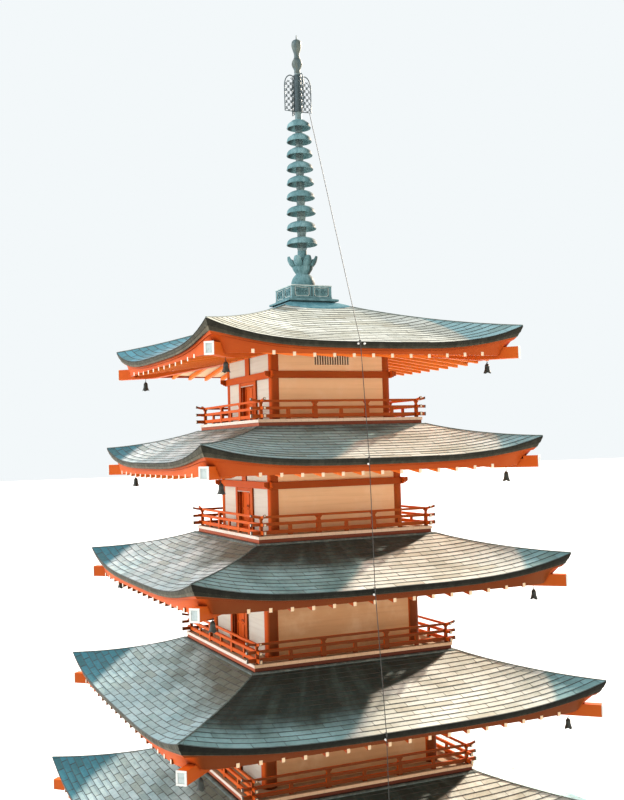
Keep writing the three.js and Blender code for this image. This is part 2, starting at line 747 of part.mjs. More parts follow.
// A taut wire from the fins past each eave to the ground, with a clip at each eave.
function conductor() {
  const stops = [WIRE_HEAD];
  const clips = [];
  for (let k = TOP; k >= 0; k -= 1) {
    const s = STOREYS[k];
    const x = s.eaveHalf + WIRE_STANDOFF;
    const y = WIRE_AT_EAVES[k];
    stops.push([x, y, s.eaveZ]);
    clips.push(block(
      [s.eaveHalf + GAP, x + 2 * WIRE_RADIUS], [y - CLIP_WIDTH / 2, y + CLIP_WIDTH / 2],
      [s.eaveZ - CLIP_HEIGHT / 2, s.eaveZ + CLIP_HEIGHT / 2],
    ));
  }
  const last = stops.at(-1);
  stops.push([last[0], last[1], 0]);
  const runs = [];
  for (let i = 0; i + 1 < stops.length; i += 1) {
    const from = new THREE.Vector3(...stops[i]);
    const to = new THREE.Vector3(...stops[i + 1]);
    const run = new THREE.CylinderGeometry(WIRE_RADIUS, WIRE_RADIUS, from.distanceTo(to), WIRE_SIDES);
    const direction = to.clone().sub(from).normalize();
    run.applyQuaternion(new THREE.Quaternion().setFromUnitVectors(new THREE.Vector3(0, 1, 0), direction));
    const middle = from.clone().add(to).multiplyScalar(0.5);
    run.translate(middle.x, middle.y, middle.z);
    runs.push(toSolid(run));
  }
  return fuse([...runs, ...clips]);
}

// Assembly

const FINISHES = {
  stone: { color: 0x9a958b, roughness: 0.9, metalness: 0 },
  vermilion: { color: 0xd9572b, roughness: 0.55, metalness: 0 },
  plaster: { color: 0xe8dcc6, roughness: 0.85, metalness: 0 },
  deckPaint: { color: 0xd8c8b4, roughness: 0.7, metalness: 0 },
  copper: { color: 0x5e8c96, roughness: 0.5, metalness: 0.3 },
  bronze: { color: 0x6e9a9a, roughness: 0.5, metalness: 0.4 },
  wire: { color: 0x3a3a38, roughness: 0.5, metalness: 0.5 },
};
const materials = Object.fromEntries(
  Object.entries(FINISHES).map(([name, look]) => [name, new THREE.MeshStandardMaterial(look)]),
);

const pagoda = new THREE.Group();

function place(name, solid, finish, halfTurn = false) {
  const mesh = new THREE.Mesh(toGeometry(solid), materials[finish]);
  mesh.name = name;
  if (halfTurn) {
    mesh.rotation.z = Math.PI;
  }
  pagoda.add(mesh);
}

place("podium", podium(), "stone");
place("steps_front", steps(), "stone");
place("steps_back", steps(), "stone", true);

STOREYS.forEach((s, index) => {
  const k = index + 1;
  place(`deck_${k}`, deck(s, index), "deckPaint");
  if (index === 0) {
    place("railing_1_right", groundRailing(s, 1), "vermilion");
    place("railing_1_left", groundRailing(s, -1), "vermilion");
  } else {
    place(`railing_${k}`, railing(s), "vermilion");
  }
  place(`walls_${k}`, walls(s, index), "plaster");
  place(`frame_${k}`, frameOf(s), "vermilion");
  place(`door_${k}_front`, door(s), "vermilion");
  place(`door_${k}_back`, door(s), "vermilion", true);
  place(`eaves_${k}`, eaves(s), "vermilion");
  place(`roof_${k}`, roof(s, index), "copper");
});

place("spire_box", spireBox(), "bronze");
place("spire_bowl", closedTurned(BOWL, SPIRE_SIDES), "bronze");
place("spire_lotus", lotus(), "bronze");
place("spire_rings", ringMast(), "bronze");
place("spire_fins", waterFins(), "bronze");
place("spire_jewel", closedTurned(JEWEL, RING_SIDES), "bronze");
place("lightning_conductor", conductor(), "wire");

export default pagoda;
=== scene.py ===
import math
import random
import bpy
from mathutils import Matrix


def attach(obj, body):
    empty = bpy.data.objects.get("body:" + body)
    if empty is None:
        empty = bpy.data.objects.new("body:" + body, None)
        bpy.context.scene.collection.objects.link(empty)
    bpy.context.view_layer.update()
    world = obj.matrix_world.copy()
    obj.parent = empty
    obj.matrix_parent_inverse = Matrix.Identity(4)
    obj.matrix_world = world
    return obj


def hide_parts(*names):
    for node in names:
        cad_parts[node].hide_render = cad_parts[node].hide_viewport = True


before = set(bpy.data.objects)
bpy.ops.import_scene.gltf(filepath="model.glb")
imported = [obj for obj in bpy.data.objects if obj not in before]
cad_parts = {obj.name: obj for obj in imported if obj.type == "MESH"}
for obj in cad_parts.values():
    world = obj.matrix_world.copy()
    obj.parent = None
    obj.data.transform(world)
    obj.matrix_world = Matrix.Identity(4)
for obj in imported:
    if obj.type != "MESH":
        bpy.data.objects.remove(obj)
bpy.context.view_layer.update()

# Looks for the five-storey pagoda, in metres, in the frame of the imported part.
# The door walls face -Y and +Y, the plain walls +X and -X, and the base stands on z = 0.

from types import SimpleNamespace

import bpy
from mathutils import Matrix, Vector

BODY = "root"
DICE = random.Random(5)


# Sizes of each storey, from the ground up, as in the part's source. A storey is called a tier below.
def storey(floor, deck_half, column_half, column_radius, eave_half, eave_z, lift, rim_half,
           beam_rise, beam_height, rafter_drop, hip_drop):
    return SimpleNamespace(**locals())


STOREYS = [
    storey(0.750, 2.620, 1.950, 0.165, 4.680, 3.190, 0.300, 2.400, 1.820, 0.160, 0.280, 0.400),
    storey(4.170, 2.370, 1.740, 0.150, 4.240, 5.600, 0.340, 2.155, 0.850, 0.145, 0.220, 0.330),
    storey(6.560, 2.130, 1.540, 0.137, 3.839, 8.025, 0.345, 1.925, 0.850, 0.140, 0.245, 0.292),
    storey(8.896, 1.892, 1.360, 0.113, 3.517, 10.328, 0.324, 1.835, 0.864, 0.140, 0.256, 0.278),
    storey(11.120, 1.800, 1.230, 0.108, 3.300, 12.474, 0.376, 0.560, 0.830, 0.140, 0.229, 0.259),
]
TOP = STOREYS[-1]
SIDES = ("front", "right", "back", "left")
DOOR_SIDES = ("front", "back")
CORNERS = ((1, -1), (1, 1), (-1, 1), (-1, -1))

PODIUM_HALF = 2.85
PODIUM_TOP = 0.605
PODIUM_CAP = 0.12
PODIUM_CAP_REACH = 0.04
PODIUM_COURSES = 2
STONE_THICKNESS = 0.34
CAP_STONE_THICKNESS = 0.42
STONE_JOINT = 0.003
STEP_RISE = 0.2
STEP_GOING = 0.3
STEP_HALF_WIDTH = 0.75
STEP_COUNT = 2

BAND_UPPER = 0.06
BAND_LOWER = 0.085
BAND_SETBACK = 0.015
BAND_THICKNESS = 0.1
BAND_LIFT = 0.012
DECK_BOARD = 0.148
DECK_JOINT = 0.002
DECK_REACH_IN = 0.15
DECK_BED = 0.0005
KERB_THICKNESS = 0.12

FACE_GAP = 0.0003
WALL_PROUD = 0.08
BEAM_PROUD = 0.045
PLAIN_BEAM_DROP = 0.003
POST_SETBACK, LINTEL_SETBACK, LINTEL_LINE, LINTEL_LINE_SETBACK = 0.006, 0.012, 0.016, 0.008
BEAM_NOSE = 0.11
HIDDEN_BEAM_RAISE = 0.045
DOOR_LINING = 0.012
DOOR_SILL = 0.04
PLATE_PROUD = 0.03
PLATE_HEIGHT = 0.165
PLATE_DROP = 0.015
DOOR_HALF = 0.38
DOOR_POST = 0.12
DOOR_LINTEL = 0.07
DOOR_THICKNESS = 0.05
DOOR_RECESS = 0.06
DOOR_STILE = 0.055
DOOR_PLANKS = 3
DOOR_GAP = 0.002
PLANK_JOINT = 0.003
LEDGE_SETBACK, PLANK_SETBACK = 0.004, 0.014
PULL_OFFSET, PULL_RADIUS, PULL_BAR = 0.04, 0.017, 0.003
LOW_LEDGE, HIGH_LEDGE, MIDDLE_LEDGE = 0.07, 0.06, 0.05
TALL_DOOR = 1.2
STRUT_WIDTH = 0.24
VENT_LOW, VENT_HIGH, VENT_DROP, VENT_HEIGHT = -0.375, 0.405, 0.064, 0.192
VENT_SLOTS = 14
VENT_BAR = 0.022
VENT_BARS_OUT, VENT_BACK_OUT = (-0.05, -0.006), (-0.12, -0.1)

RAFTER_PITCH = 0.4
RAFTER_WIDTH = 0.066
RAFTER_HEIGHT = 0.082
RAFTER_SLOPE = 0.14
RAFTER_SETBACK = 0.17
PLAIN_ROW = SimpleNamespace(shift=0.0, corner=0.85)
DOOR_ROW = SimpleNamespace(shift=0.5, corner=0.7)
END_PLATE_INSET = 0.004
END_PLATE_OUT = (-0.004, 0.006)
RAFTER_NOSE = 0.045
RAFTER_BITE = 0.02
CORNER_RISE = 0.25
SOFFIT_THICKNESS = 0.03
SOFFIT_BOARD = 0.19
SOFFIT_JOINT = 0.004
CEILING_THICKNESS = 0.03
EDGE_BOARD_SETBACK = 0.09
EDGE_BOARD_THICKNESS = 0.055
EDGE_BOARD_UPPER = 0.055
EDGE_BOARD_STEP = 0.03
EDGE_BOARD_DROP = 0.02
EDGE_BOARD_JOINT = 0.002
BOARD_CORNER_LEAN = 0.3
BOARD_LEAN_POWER = 12
HIP_WIDTH = 0.18
HIP_HEIGHT = 0.23
HIP_SETBACK = 0.07
HIP_LEVEL = 0.7
HIP_SLOPE = 0.177
HIP_BITE = 0.01
END_PLATE_LAP = 0.006
END_PLATE_RIM = 0.038
END_PLATE_PROUD = 0.014

LIFT_POWER = 3.6
LIFT_FADE = 1.2
SLOPE_STRAIGHT = 0.75
SHEET_THICKNESS = 0.1
FASCIA_MID = 0.11
FASCIA_GROWTH = 0.102
FASCIA_POWER = 9
FASCIA_LEAN = 0.02
FASCIA_CORNER_LEAN = 0.06
LEDGE = 0.08
ROOF_ROWS = 12
TOP_RIM_Z = 13.57
TOP_ROOF_INNER = 0.3
HIP_SEAM_HALF = 0.013
HIP_SEAM_STATIONS = 14

# Copper sheets: length along the eave, depth of a course, and where the joints of two courses start
SHEET_LENGTH = 0.59
COURSE_DEPTH = 0.134
COURSE_LAP = 0.03
SHEET_OVERHANG = 0.004
SHEET_NOSE = 0.013
SHEET_EDGE = 0.008
SHEET_GAP = 0.006
SEAM_WIDTH = 0.02
WIDE_SEAM = 0.032
SHEET_HIP_GAP = 0.008
SMALLEST_SHEET = 0.05
POINTED_SHEET = 0.004
DOOR_SIDE_JOINTS = (0.155, 0.45)
PLAIN_SIDE_JOINTS = (-0.02, 0.27)

BELL_SETBACK = 0.53
BELL_HEIGHT = 0.19
BELL_RADIUS = 0.076
BELL_HOOK = 0.075

RAIL_INSET = 0.09
RAIL_WIDTH = 0.062
RAIL_POST_WIDTH = 0.1
RAIL_TOP = (0.333, 0.378)
RAIL_MID = (0.190, 0.245)
RAIL_LOW = (0.030, 0.100)
RAIL_OVERRUN = 0.21
RAIL_CURL = 0.035
RAIL_STEPS = 24
RAIL_END_STEPS = (0.03, 0.06, 0.1, 0.15, 0.2)
CURL_START = 0.01
CAP_LENGTH, CAP_OVERLAP, CAP_PROUD, CAP_RIM = 0.028, 0.004, 0.002, 0.006
GROUND_RAIL_GAP = 0.76
STRUT_HALF, STRUT_DEPTH = 0.036, 0.02
FOOT_HALF, FOOT_DEPTH = 0.04, 0.028

WIRE_RADIUS = 0.007
WIRE_STANDOFF = 0.045
WIRE_HEAD = (0, 0.268, 17.816)
WIRE_AT_EAVES = (-0.76, -0.55, -0.48, -0.35, -0.35)
CLAMP_SPACING = 0.022
CLAMP_HALF = 0.034


def wall_half(tier):
    return tier.column_half + WALL_PROUD


def deck_underside(tier):
    return tier.floor - BAND_UPPER - BAND_LOWER


def rafter_reach(tier):
    return tier.eave_half - RAFTER_SETBACK


def rafter_end_top(tier):
    return tier.eave_z - tier.rafter_drop + RAFTER_HEIGHT / 2


def wall_top(tier):
    climb = RAFTER_SLOPE * (rafter_reach(tier) - wall_half(tier))
    return rafter_end_top(tier) - RAFTER_HEIGHT + climb - PLATE_DROP


def soffit_z(tier, distance, along):
    """Underside of the boards over the rafters."""
    start, reach = wall_half(tier), rafter_reach(tier)
    rise = CORNER_RISE * tier.lift * max(0, abs(along) - start) / (reach - start)
    return rafter_end_top(tier) + RAFTER_SLOPE * (reach - distance) + rise


def above(tier):
    return STOREYS[STOREYS.index(tier) + 1]


def rim_z(tier):
    return TOP_RIM_Z if tier is TOP else deck_underside(above(tier))


def roof_z(tier, distance, share):
    """Top of the roof at a distance from the axis; share is 0 at mid-side and 1 on the hip."""
    t = max(0.0, (distance - tier.rim_half) / (tier.eave_half - tier.rim_half))
    fall = 1 - t
    lift = tier.lift * share ** LIFT_POWER * t ** LIFT_FADE
    climb = SLOPE_STRAIGHT * fall + (1 - SLOPE_STRAIGHT) * fall ** 2
    return tier.eave_z + (rim_z(tier) - tier.eave_z) * climb + lift


def fascia_height(share):
    return FASCIA_MID + FASCIA_GROWTH * share ** FASCIA_POWER


def fascia_lean(share):
    return FASCIA_LEAN + FASCIA_CORNER_LEAN * share ** FASCIA_POWER


def roof_underside_z(tier, distance, share):
    """Underside of the roof between its edge and the middle of its slope."""
    edge = tier.eave_half - fascia_lean(share)
    middle = (tier.rim_half + tier.eave_half) / 2
    edge_z = roof_z(tier, tier.eave_half, share) - fascia_height(share)
    middle_z = roof_z(tier, middle, share) - SHEET_THICKNESS
    return edge_z + (edge - distance) / (edge - middle) * (middle_z - edge_z)


def spread(start, end, steps):
    """Evenly spaced values from start to end, with both ends."""
    return [start + (end - start) * i / steps for i in range(steps + 1)]


def angles_round(count):
    return [2 * math.pi * i / count for i in range(count)]


def mirrored(sign, near, far):
    """From near to far of the middle line, on the side that the sign gives, low value first."""
    return tuple(sorted((sign * near, sign * far)))


# Materials


def linear(hex_colour):
    """An sRGB hex colour as linear RGBA."""
    channels = [int(hex_colour[i:i + 2], 16) / 255 for i in (1, 3, 5)]
    return [c / 12.92 if c <= 0.04045 else ((c + 0.055) / 1.055) ** 2.4 for c in channels] + [1.0]


def add(tree, kind, output, inputs=None, **settings):
    """Adds a node and returns one of its outputs. An input is a number, a hex colour or another output."""
    node = tree.nodes.new(kind)
    for name, value in settings.items():
        setattr(node, name, value)
    for key, value in (inputs or {}).items():
        if isinstance(value, bpy.types.NodeSocket):
            tree.links.new(value, node.inputs[key])
        else:
            node.inputs[key].default_value = linear(value) if isinstance(value, str) else value
    return node.outputs[output]


FACTOR, COLOUR_A, COLOUR_B, COLOUR_OUT = 0, 6, 7, 2
SMOOTH = {"interpolation_type": "SMOOTHSTEP"}


def rise(value, low, high, start=0.0, end=1.0):
    """Inputs of a map range node that goes from start to end while the value goes from low to high."""
    return {"Value": value, "From Min": low, "From Max": high, "To Min": start, "To Max": end}


def layer(tree, under, over, mask, low=0.0, high=1.0, end=1.0, start=0.0, how="MIX"):
    """Lays a colour over another. Its share goes from start to end while the mask goes from low to high."""
    share = add(tree, "ShaderNodeMapRange", "Result", rise(mask, low, high, start, end), **SMOOTH)
    return add(tree, "ShaderNodeMix", COLOUR_OUT, {FACTOR: share, COLOUR_A: under, COLOUR_B: over},
               data_type="RGBA", blend_type=how)


def pattern(tree, where, millimetres, detail):
    """Cloudy pattern with features of a real size: one number, or one for each direction."""
    sizes = millimetres if isinstance(millimetres, tuple) else (millimetres,) * 3
    scaled = add(tree, "ShaderNodeVectorMath", "Vector", {0: where, 1: [1000 / size for size in sizes]},
                 operation="MULTIPLY")
    return add(tree, "ShaderNodeTexNoise", "Fac",
               {"Vector": scaled, "Scale": 1.0, "Detail": detail, "Roughness": 0.6})


def weighted_sum(tree, start, *terms):
    """The start plus the value times the weight of each term."""
    total = start
    for value, weight in terms:
        total = add(tree, "ShaderNodeMath", 0, {0: value, 1: weight, 2: total}, operation="MULTIPLY_ADD")
    return total


def grimy_corners(tree, colour, grime, reach, low, high, most):
    """Painted shade: darkens corners that are narrower than a reach in metres, as ambient occlusion finds
    them.
    """
    openness = add(tree, "ShaderNodeAmbientOcclusion", "AO", {"Distance": reach}, samples=4)
    return layer(tree, colour, grime, openness, low, high, 0.0, most)


def facing(tree, axis):
    """How far a face turns towards an axis, from -1 to 1."""
    normal = add(tree, "ShaderNodeNewGeometry", "Normal")
    return add(tree, "ShaderNodeSeparateXYZ", axis, {"Vector": normal})


# How far a face turns to +X or -X where the painted shade of the plain sides starts and is full, and heights
# in metres between which that painted shade, or the copper's painted light and shade, changes
PLAIN_SIDE = (0.45, 0.85)
UPPER_STOREYS = (7.6, 9.6)
LOW_ROOFS_END = (6.5, 7.2)
UPPER_ROOFS = (9.0, 9.8)


def darker_plain_sides(tree, colour, shade, upper_share):
    """Painted shade: deepens a colour on the plain sides, and less on the two upper storeys."""
    if shade is None:
        return colour
    place = add(tree, "ShaderNodeTexCoord", "Object")
    height = add(tree, "ShaderNodeSeparateXYZ", "Z", {"Vector": place})
    sideways = add(tree, "ShaderNodeMath", 0, {0: facing(tree, "X")}, operation="ABSOLUTE")
    plain = add(tree, "ShaderNodeMapRange", "Result", rise(sideways, *PLAIN_SIDE), **SMOOTH)
    storeys = add(tree, "ShaderNodeMapRange", "Result",
                  rise(height, *UPPER_STOREYS, 1.0, upper_share), **SMOOTH)
    share = add(tree, "ShaderNodeMath", 0, {0: plain, 1: storeys}, operation="MULTIPLY")
    return add(tree, "ShaderNodeMix", COLOUR_OUT, {FACTOR: share, COLOUR_A: colour, COLOUR_B: shade},
               data_type="RGBA", blend_type="MULTIPLY")


def new_material(name, **constants):
    material = bpy.data.materials.new(name)
    material.use_nodes = True
    shader = material.node_tree.nodes["Principled BSDF"]
    for socket, value in constants.items():
        shader.inputs[socket.replace("_", " ")].default_value = value
    return material, material.node_tree, shader


def surface(tree, shader, colour, relief=None, rough=None):
    """Feeds the shader. relief is a pattern, its depth in metres and its strength; rough comes from rise."""
    tree.links.new(colour, shader.inputs["Base Color"])
    if relief:
        relief_inputs = dict(zip(("Height", "Distance", "Strength"), relief))
        tree.links.new(add(tree, "ShaderNodeBump", "Normal", relief_inputs), shader.inputs["Normal"])
    if rough:
        roughness = add(tree, "ShaderNodeMapRange", "Result", rough, **SMOOTH)
        tree.links.new(roughness, shader.inputs["Roughness"])


# Oil paint brushed on planed timber. It dries with a soft sheen, keeps brush lines along the member
# and bleaches where rain and sun reach it. Its corners carry painted shade, and its plain sides a
# painted shade, less on the two upper storeys, that makes the door sides glow orange beside them.
# Brush lines and specks are drawn 14 and 18 mm wide, ten times the real ones, because those don't show.
def painted_timber(name, paint, bleached, grime, roughness=0.5, grain_depth=0.0012,
                   plain_sides=None, upper_share=0.7):
    material, tree, shader = new_material(name, Metallic=0.0, Specular_IOR_Level=0.1)
    member = add(tree, "ShaderNodeAttribute", "Vector", attribute_name="member")
    place = add(tree, "ShaderNodeTexCoord", "Object")
    brush = pattern(tree, member, (400, 14.286, 14.286), 5.0)
    colour = layer(tree, paint, bleached, pattern(tree, place, 909.1, 5.0), 0.42, 0.72, 0.55)
    colour = layer(tree, colour, bleached, brush, 0.35, 0.75, 0.3)
    colour = layer(tree, colour, bleached, pattern(tree, place, 18.18, 2.0), 0.66, 0.74, 0.35)
    # Painted shade in the corners and on the plain sides
    colour = grimy_corners(tree, colour, grime, 0.12, 0.25, 0.8, 0.7)
    colour = darker_plain_sides(tree, colour, plain_sides, upper_share)
    surface(tree, shader, colour, (brush, grain_depth, 0.6),
            rise(brush, 0.2, 0.8, roughness - 0.08, roughness + 0.14))
    return material


# Metal that weathers evenly: a main tone with lighter runs, mottled with its corner colour, painted shade in
# the corners, and slightly rough. Some of it carries painted shade on the plain sides, and the spire's bronze
# is painted darker and browner on the side towards +Y, where the low warm light falls: painted shade that
# holds back its glare. The grain is the size of the mottling in millimetres, several times the real one so
# that it shows.
def weathered_metal(name, main, runs, corners, metallic, roughness, grain=62.5,
                    plain_sides=None, shine=0.5, baked_side=None):
    material, tree, shader = new_material(name, Metallic=metallic, Specular_IOR_Level=shine)
    place = add(tree, "ShaderNodeTexCoord", "Object")
    mottle = pattern(tree, place, grain, 6.0)
    colour = layer(tree, main, runs, pattern(tree, place, (142.86, 142.86, 909.1), 5.0), 0.42, 0.7, 0.7)
    colour = layer(tree, colour, corners, mottle, 0.48, 0.7, 0.4)
    # Painted shade in the corners and on the plain sides
    colour = grimy_corners(tree, colour, corners, 0.09, 0.3, 0.85, 0.75)
    colour = darker_plain_sides(tree, colour, plain_sides, 0.7)
    # Painted shade on the side towards +Y, where the low warm light falls, that holds back its glare
    if baked_side:
        colour = layer(tree, colour, baked_side, facing(tree, "Y"), 0.0, 0.7, how="MULTIPLY")
    surface(tree, shader, colour, (mottle, 0.004, 0.4),
            rise(mottle, 0.3, 0.7, roughness - 0.08, roughness + 0.12))
    return material


# Copper colours with light and shade painted in: the teal ones stand where the copper lies in shade, the pale
# warm pair is its painted cream sheen in the low sun, the near-black pair is the painted shadow of the roof
# above and of the balcony, and the cool blue and light pair on the door sides is a painted reflection of the
# sky
TEAL_DEEP, TEAL_PALE, TEAL_HAZE = "#6A9293", "#92BABE", "#A6C8CC"
TEAL_TIP, TEAL_FAR, TEAL_FAR_OPEN = "#4A8290", "#246E7C", "#4E90A0"
WASHED_WARM, WASHED_LIGHT = "#BEBFB3", "#DCE0DA"
SHELTERED_DARK, SHELTERED_GREY = "#1E3330", "#405652"
COOL_BLUE, COOL_LIGHT, COOL_BROWN, COOL_LOW = "#B2C8CA", "#E0E8E6", "#626A5E", "#BCD4D8"
RUN_PALE, SHEET_GREY, SHEET_BROWN = "#C9CFC8", "#B9BDB4", "#A08A6C"
SHEET_SPOT, SEAM_DARK = "#3E4440", "#2A2722"
CLOUDS = (0.35, 0.68)
RUN_WIDTH, RUN_LENGTH = 445, 2500
HALF_SIDE_METRES, SLOPE_METRES = 4.0, 2.25


# Copper sheet that has weathered for decades, with the light and shade of a low sun painted in. On the plain
# sides the cream where the sun falls is a painted sheen; on the lower roofs the painted shadow of the balcony
# and of the roof above is nearly black by the wall and blue-green lower down, and the turned-up far corners
# are painted blue-green as shade. On the door sides the pale blue-grey is a painted reflection of the sky and
# the far lower corner is painted shade. The member attribute holds the share along the side, the share down
# the slope and 1 on a door side, so the runs' sizes in millimetres are divided by what one share is on a
# middling roof. Runs and spots are drawn 445 and 71 mm wide, several times the real ones, so that they show.
def weathered_copper(name, sheltered):
    material, tree, shader = new_material(name, Metallic=0.3)
    member = add(tree, "ShaderNodeAttribute", "Vector", attribute_name="member")
    along, slope, door_side = (add(tree, "ShaderNodeSeparateXYZ", axis, {"Vector": member}) for axis in "XYZ")
    place = add(tree, "ShaderNodeTexCoord", "Object")
    height = add(tree, "ShaderNodeSeparateXYZ", "Z", {"Vector": place})
    clouds = pattern(tree, place, 1111, 6.0)
    runs = pattern(tree, member, (RUN_WIDTH / HALF_SIDE_METRES, RUN_LENGTH / SLOPE_METRES, 1000), 5.0)
    spots = pattern(tree, place, 71.43, 5.0)
    sheet_tone = add(tree, "ShaderNodeNewGeometry", "Random Per Island")
    seam = add(tree, "ShaderNodeAttribute", "Fac", attribute_name="seam")
    at = SimpleNamespace(along=along, slope=slope, height=height, clouds=clouds, runs=runs)

    plain, door = copper_of_plain_side(tree, at, sheltered), copper_of_door_side(tree, at, sheltered)
    colour = layer(tree, plain, door, door_side)
    colour = layer(tree, colour, RUN_PALE, runs, 0.5, 0.75, 0.3, how="OVERLAY")
    colour = layer(tree, colour, SHEET_GREY, sheet_tone, 0.0, 1.0, 0.45, how="MULTIPLY")
    colour = layer(tree, colour, SHEET_BROWN, sheet_tone, 0.84, 1.0, 0.28, how="OVERLAY")
    colour = layer(tree, colour, SHEET_SPOT, spots, 0.5, 0.72, 0.22)
    colour = layer(tree, colour, SEAM_DARK, seam, 0.2, 0.9, 0.85)
    dents = pattern(tree, place, 181.8, 3.0)
    surface(tree, shader, colour, (dents, 0.012, 0.35), rise(spots, 0.3, 0.7, 0.46, 0.64))
    return material


def copper_of_plain_side(tree, at, sheltered):
    """Copper with a painted cream sheen where the sun falls, on the lower roofs a painted shadow beside the
    walls that is nearly black, and painted blue-green shade at the tips.
    """
    skin = layer(tree, TEAL_DEEP, TEAL_PALE, at.clouds, *CLOUDS)
    skin = layer(tree, skin, TEAL_HAZE, at.height, *UPPER_ROOFS, 0.55)
    tip_skin = add(tree, "ShaderNodeMix", COLOUR_OUT, {FACTOR: 0.2, COLOUR_A: skin, COLOUR_B: TEAL_TIP},
                   data_type="RGBA")
    # Painted sunlight: the cream sheen of the copper where the low sun falls on it
    copper = layer(tree, WASHED_WARM, WASHED_LIGHT, at.clouds, *CLOUDS)
    if sheltered:
        upper = add(tree, "ShaderNodeMapRange", "Result", rise(at.height, *UPPER_ROOFS), **SMOOTH)
        low_band = weighted_sum(
            tree, -0.92, (at.height, 0.11), (upper, 0.12), (at.slope, 1.0), (at.clouds, 0.5))
        # Painted shadow of the roof above and of the balcony: nearly black by the wall, blue-green lower down
        shelter = layer(tree, SHELTERED_DARK, SHELTERED_GREY, at.runs, 0.45, 0.7)
        shelter = layer(tree, shelter, skin, low_band, 0.55, 0.95)
        # The painted shadow of the roof above and of the balcony ends along two straight lines, one that
        # falls steeply and one that falls slowly
        steep = weighted_sum(tree, 0.95, (at.slope, -2.2))
        slow = weighted_sum(tree, 0.16, (at.slope, -0.45))
        edge = add(tree, "ShaderNodeMath", 0, {0: steep, 1: slow}, operation="MAXIMUM")
        copper = layer(tree, copper, shelter, weighted_sum(tree, edge, (at.along, -1.0)), -0.02, 0.05)
    # Painted shade on the turned-up far tips, which face away from the low sun
    tip = weighted_sum(tree, 0.0, (at.slope, 0.7), (at.along, 1.0))
    tip_from = 1.39 if sheltered else 1.29
    return layer(tree, copper, tip_skin, tip, tip_from, tip_from + 0.05)


def copper_of_door_side(tree, at, sheltered):
    """Copper with a painted reflection of the sky in pale blue-grey, brown beside the wall, and painted
    blue-green shade towards the far lower corner.
    """
    # Painted reflection of the sky: the pale blue-grey of the door sides
    cool = layer(tree, COOL_BLUE, COOL_LIGHT, at.clouds, *CLOUDS)
    cool = layer(tree, cool, COOL_LOW, at.height, *LOW_ROOFS_END, 0.0, 0.75, "MULTIPLY")
    from_wall = weighted_sum(tree, 0.0, (at.slope, 1.0), (at.clouds, 1.0), (at.along, -0.3))
    copper = layer(tree, COOL_BROWN, cool, from_wall, 0.45, 1.0)
    low_roofs = add(tree, "ShaderNodeMapRange", "Result", rise(at.height, *LOW_ROOFS_END, 1.0, 0.0), **SMOOTH)
    # Painted shade on the far lower corner, which turns away from the low sun
    far = weighted_sum(tree, 0.0, (at.slope, 0.93), (at.along, -1.0), (low_roofs, 0.13))
    far_skin, far_from = (TEAL_FAR, 1.48) if sheltered else (TEAL_FAR_OPEN, 0.7)
    return layer(tree, copper, far_skin, far, far_from, 1.6)


# Lime plaster, trowelled level: white and matt, with faint level trowel lines; the cream of the plain walls,
# deeper on the lower storeys, is painted warm shade, and the dark under the timbers and in corners is painted
# shade. Its grit is drawn 11 mm wide, where real sand is 1 mm, so that the surface doesn't look flat.
def lime_plaster(name):
    material, tree, shader = new_material(name, Metallic=0.0, Roughness=0.88, IOR=1.45)
    place = add(tree, "ShaderNodeTexCoord", "Object")
    sideways = add(tree, "ShaderNodeMath", 0, {0: facing(tree, "X")}, operation="ABSOLUTE")
    trowel = pattern(tree, place, (1667, 1667, 62.5), 5.0)
    # Painted warm shade: cream on the plain walls, deeper on the plain walls of the lower storeys
    colour = layer(tree, "#E4E1D4", "#E2B88A", sideways, *PLAIN_SIDE)
    colour = darker_plain_sides(tree, colour, "#DCCFC2", 0.0)
    colour = layer(tree, colour, "#A98B66", trowel, 0.42, 0.75, 0.16, how="MULTIPLY")
    colour = layer(tree, colour, "#F3DDBC", pattern(tree, place, 588.2, 4.0), 0.45, 0.75, 0.2)
    # Painted shade under the timbers and in the corners
    colour = grimy_corners(tree, colour, "#A48A6C", 0.15, 0.35, 0.9, 0.4)
    gritty = weighted_sum(tree, trowel, (pattern(tree, place, 11.11, 2.0), 1.0))
    surface(tree, shader, colour, (gritty, 0.002, 0.35))
    return material


# Granite cut with a point chisel: a grey ground with dark and pale crystals and a picked surface. The
# crystals are 8 mm wide, three times the real ones, so that they show.
def cut_granite(name):
    material, tree, shader = new_material(name, Metallic=0.0, Roughness=0.85)
    place = add(tree, "ShaderNodeTexCoord", "Object")
    tone = add(tree, "ShaderNodeNewGeometry", "Random Per Island")
    crystals = add(tree, "ShaderNodeTexVoronoi", "Color", {"Vector": place, "Scale": 1000 / 8.333})
    grey = add(tree, "ShaderNodeRGBToBW", "Val", {"Color": crystals})
    colour = layer(tree, "#77736B", "#A6A196", grey, 0.2, 0.8)
    colour = layer(tree, colour, "#8C8272", tone, 0.0, 1.0, 0.45)
    colour = layer(tree, colour, "#5A574C", pattern(tree, place, 454.5, 6.0), 0.48, 0.75, 0.5)
    surface(tree, shader, colour, (pattern(tree, place, 26.32, 4.0), 0.006, 0.6))
    return material


# Glazed porcelain of the insulators: clean white with a clear gloss, and faint crazing in the glaze,
# drawn 17 mm wide, because real crazing of 2 mm doesn't show.
def glazed_porcelain(name):
    material, tree, shader = new_material(name, Metallic=0.0, IOR=1.54, Coat_Weight=0.6, Coat_Roughness=0.08)
    place = add(tree, "ShaderNodeTexCoord", "Object")
    crazing = pattern(tree, place, 16.67, 3.0)
    colour = layer(tree, "#F1EFE9", "#CFCABC", crazing, 0.45, 0.7, 0.4)
    surface(tree, shader, colour, rough=rise(crazing, 0.3, 0.7, 0.18, 0.34))
    return material


VERMILION = painted_timber(
    "vermilion_oil_paint", "#CC5212", "#DC6C22", "#6A200A", plain_sides="#889CAC")
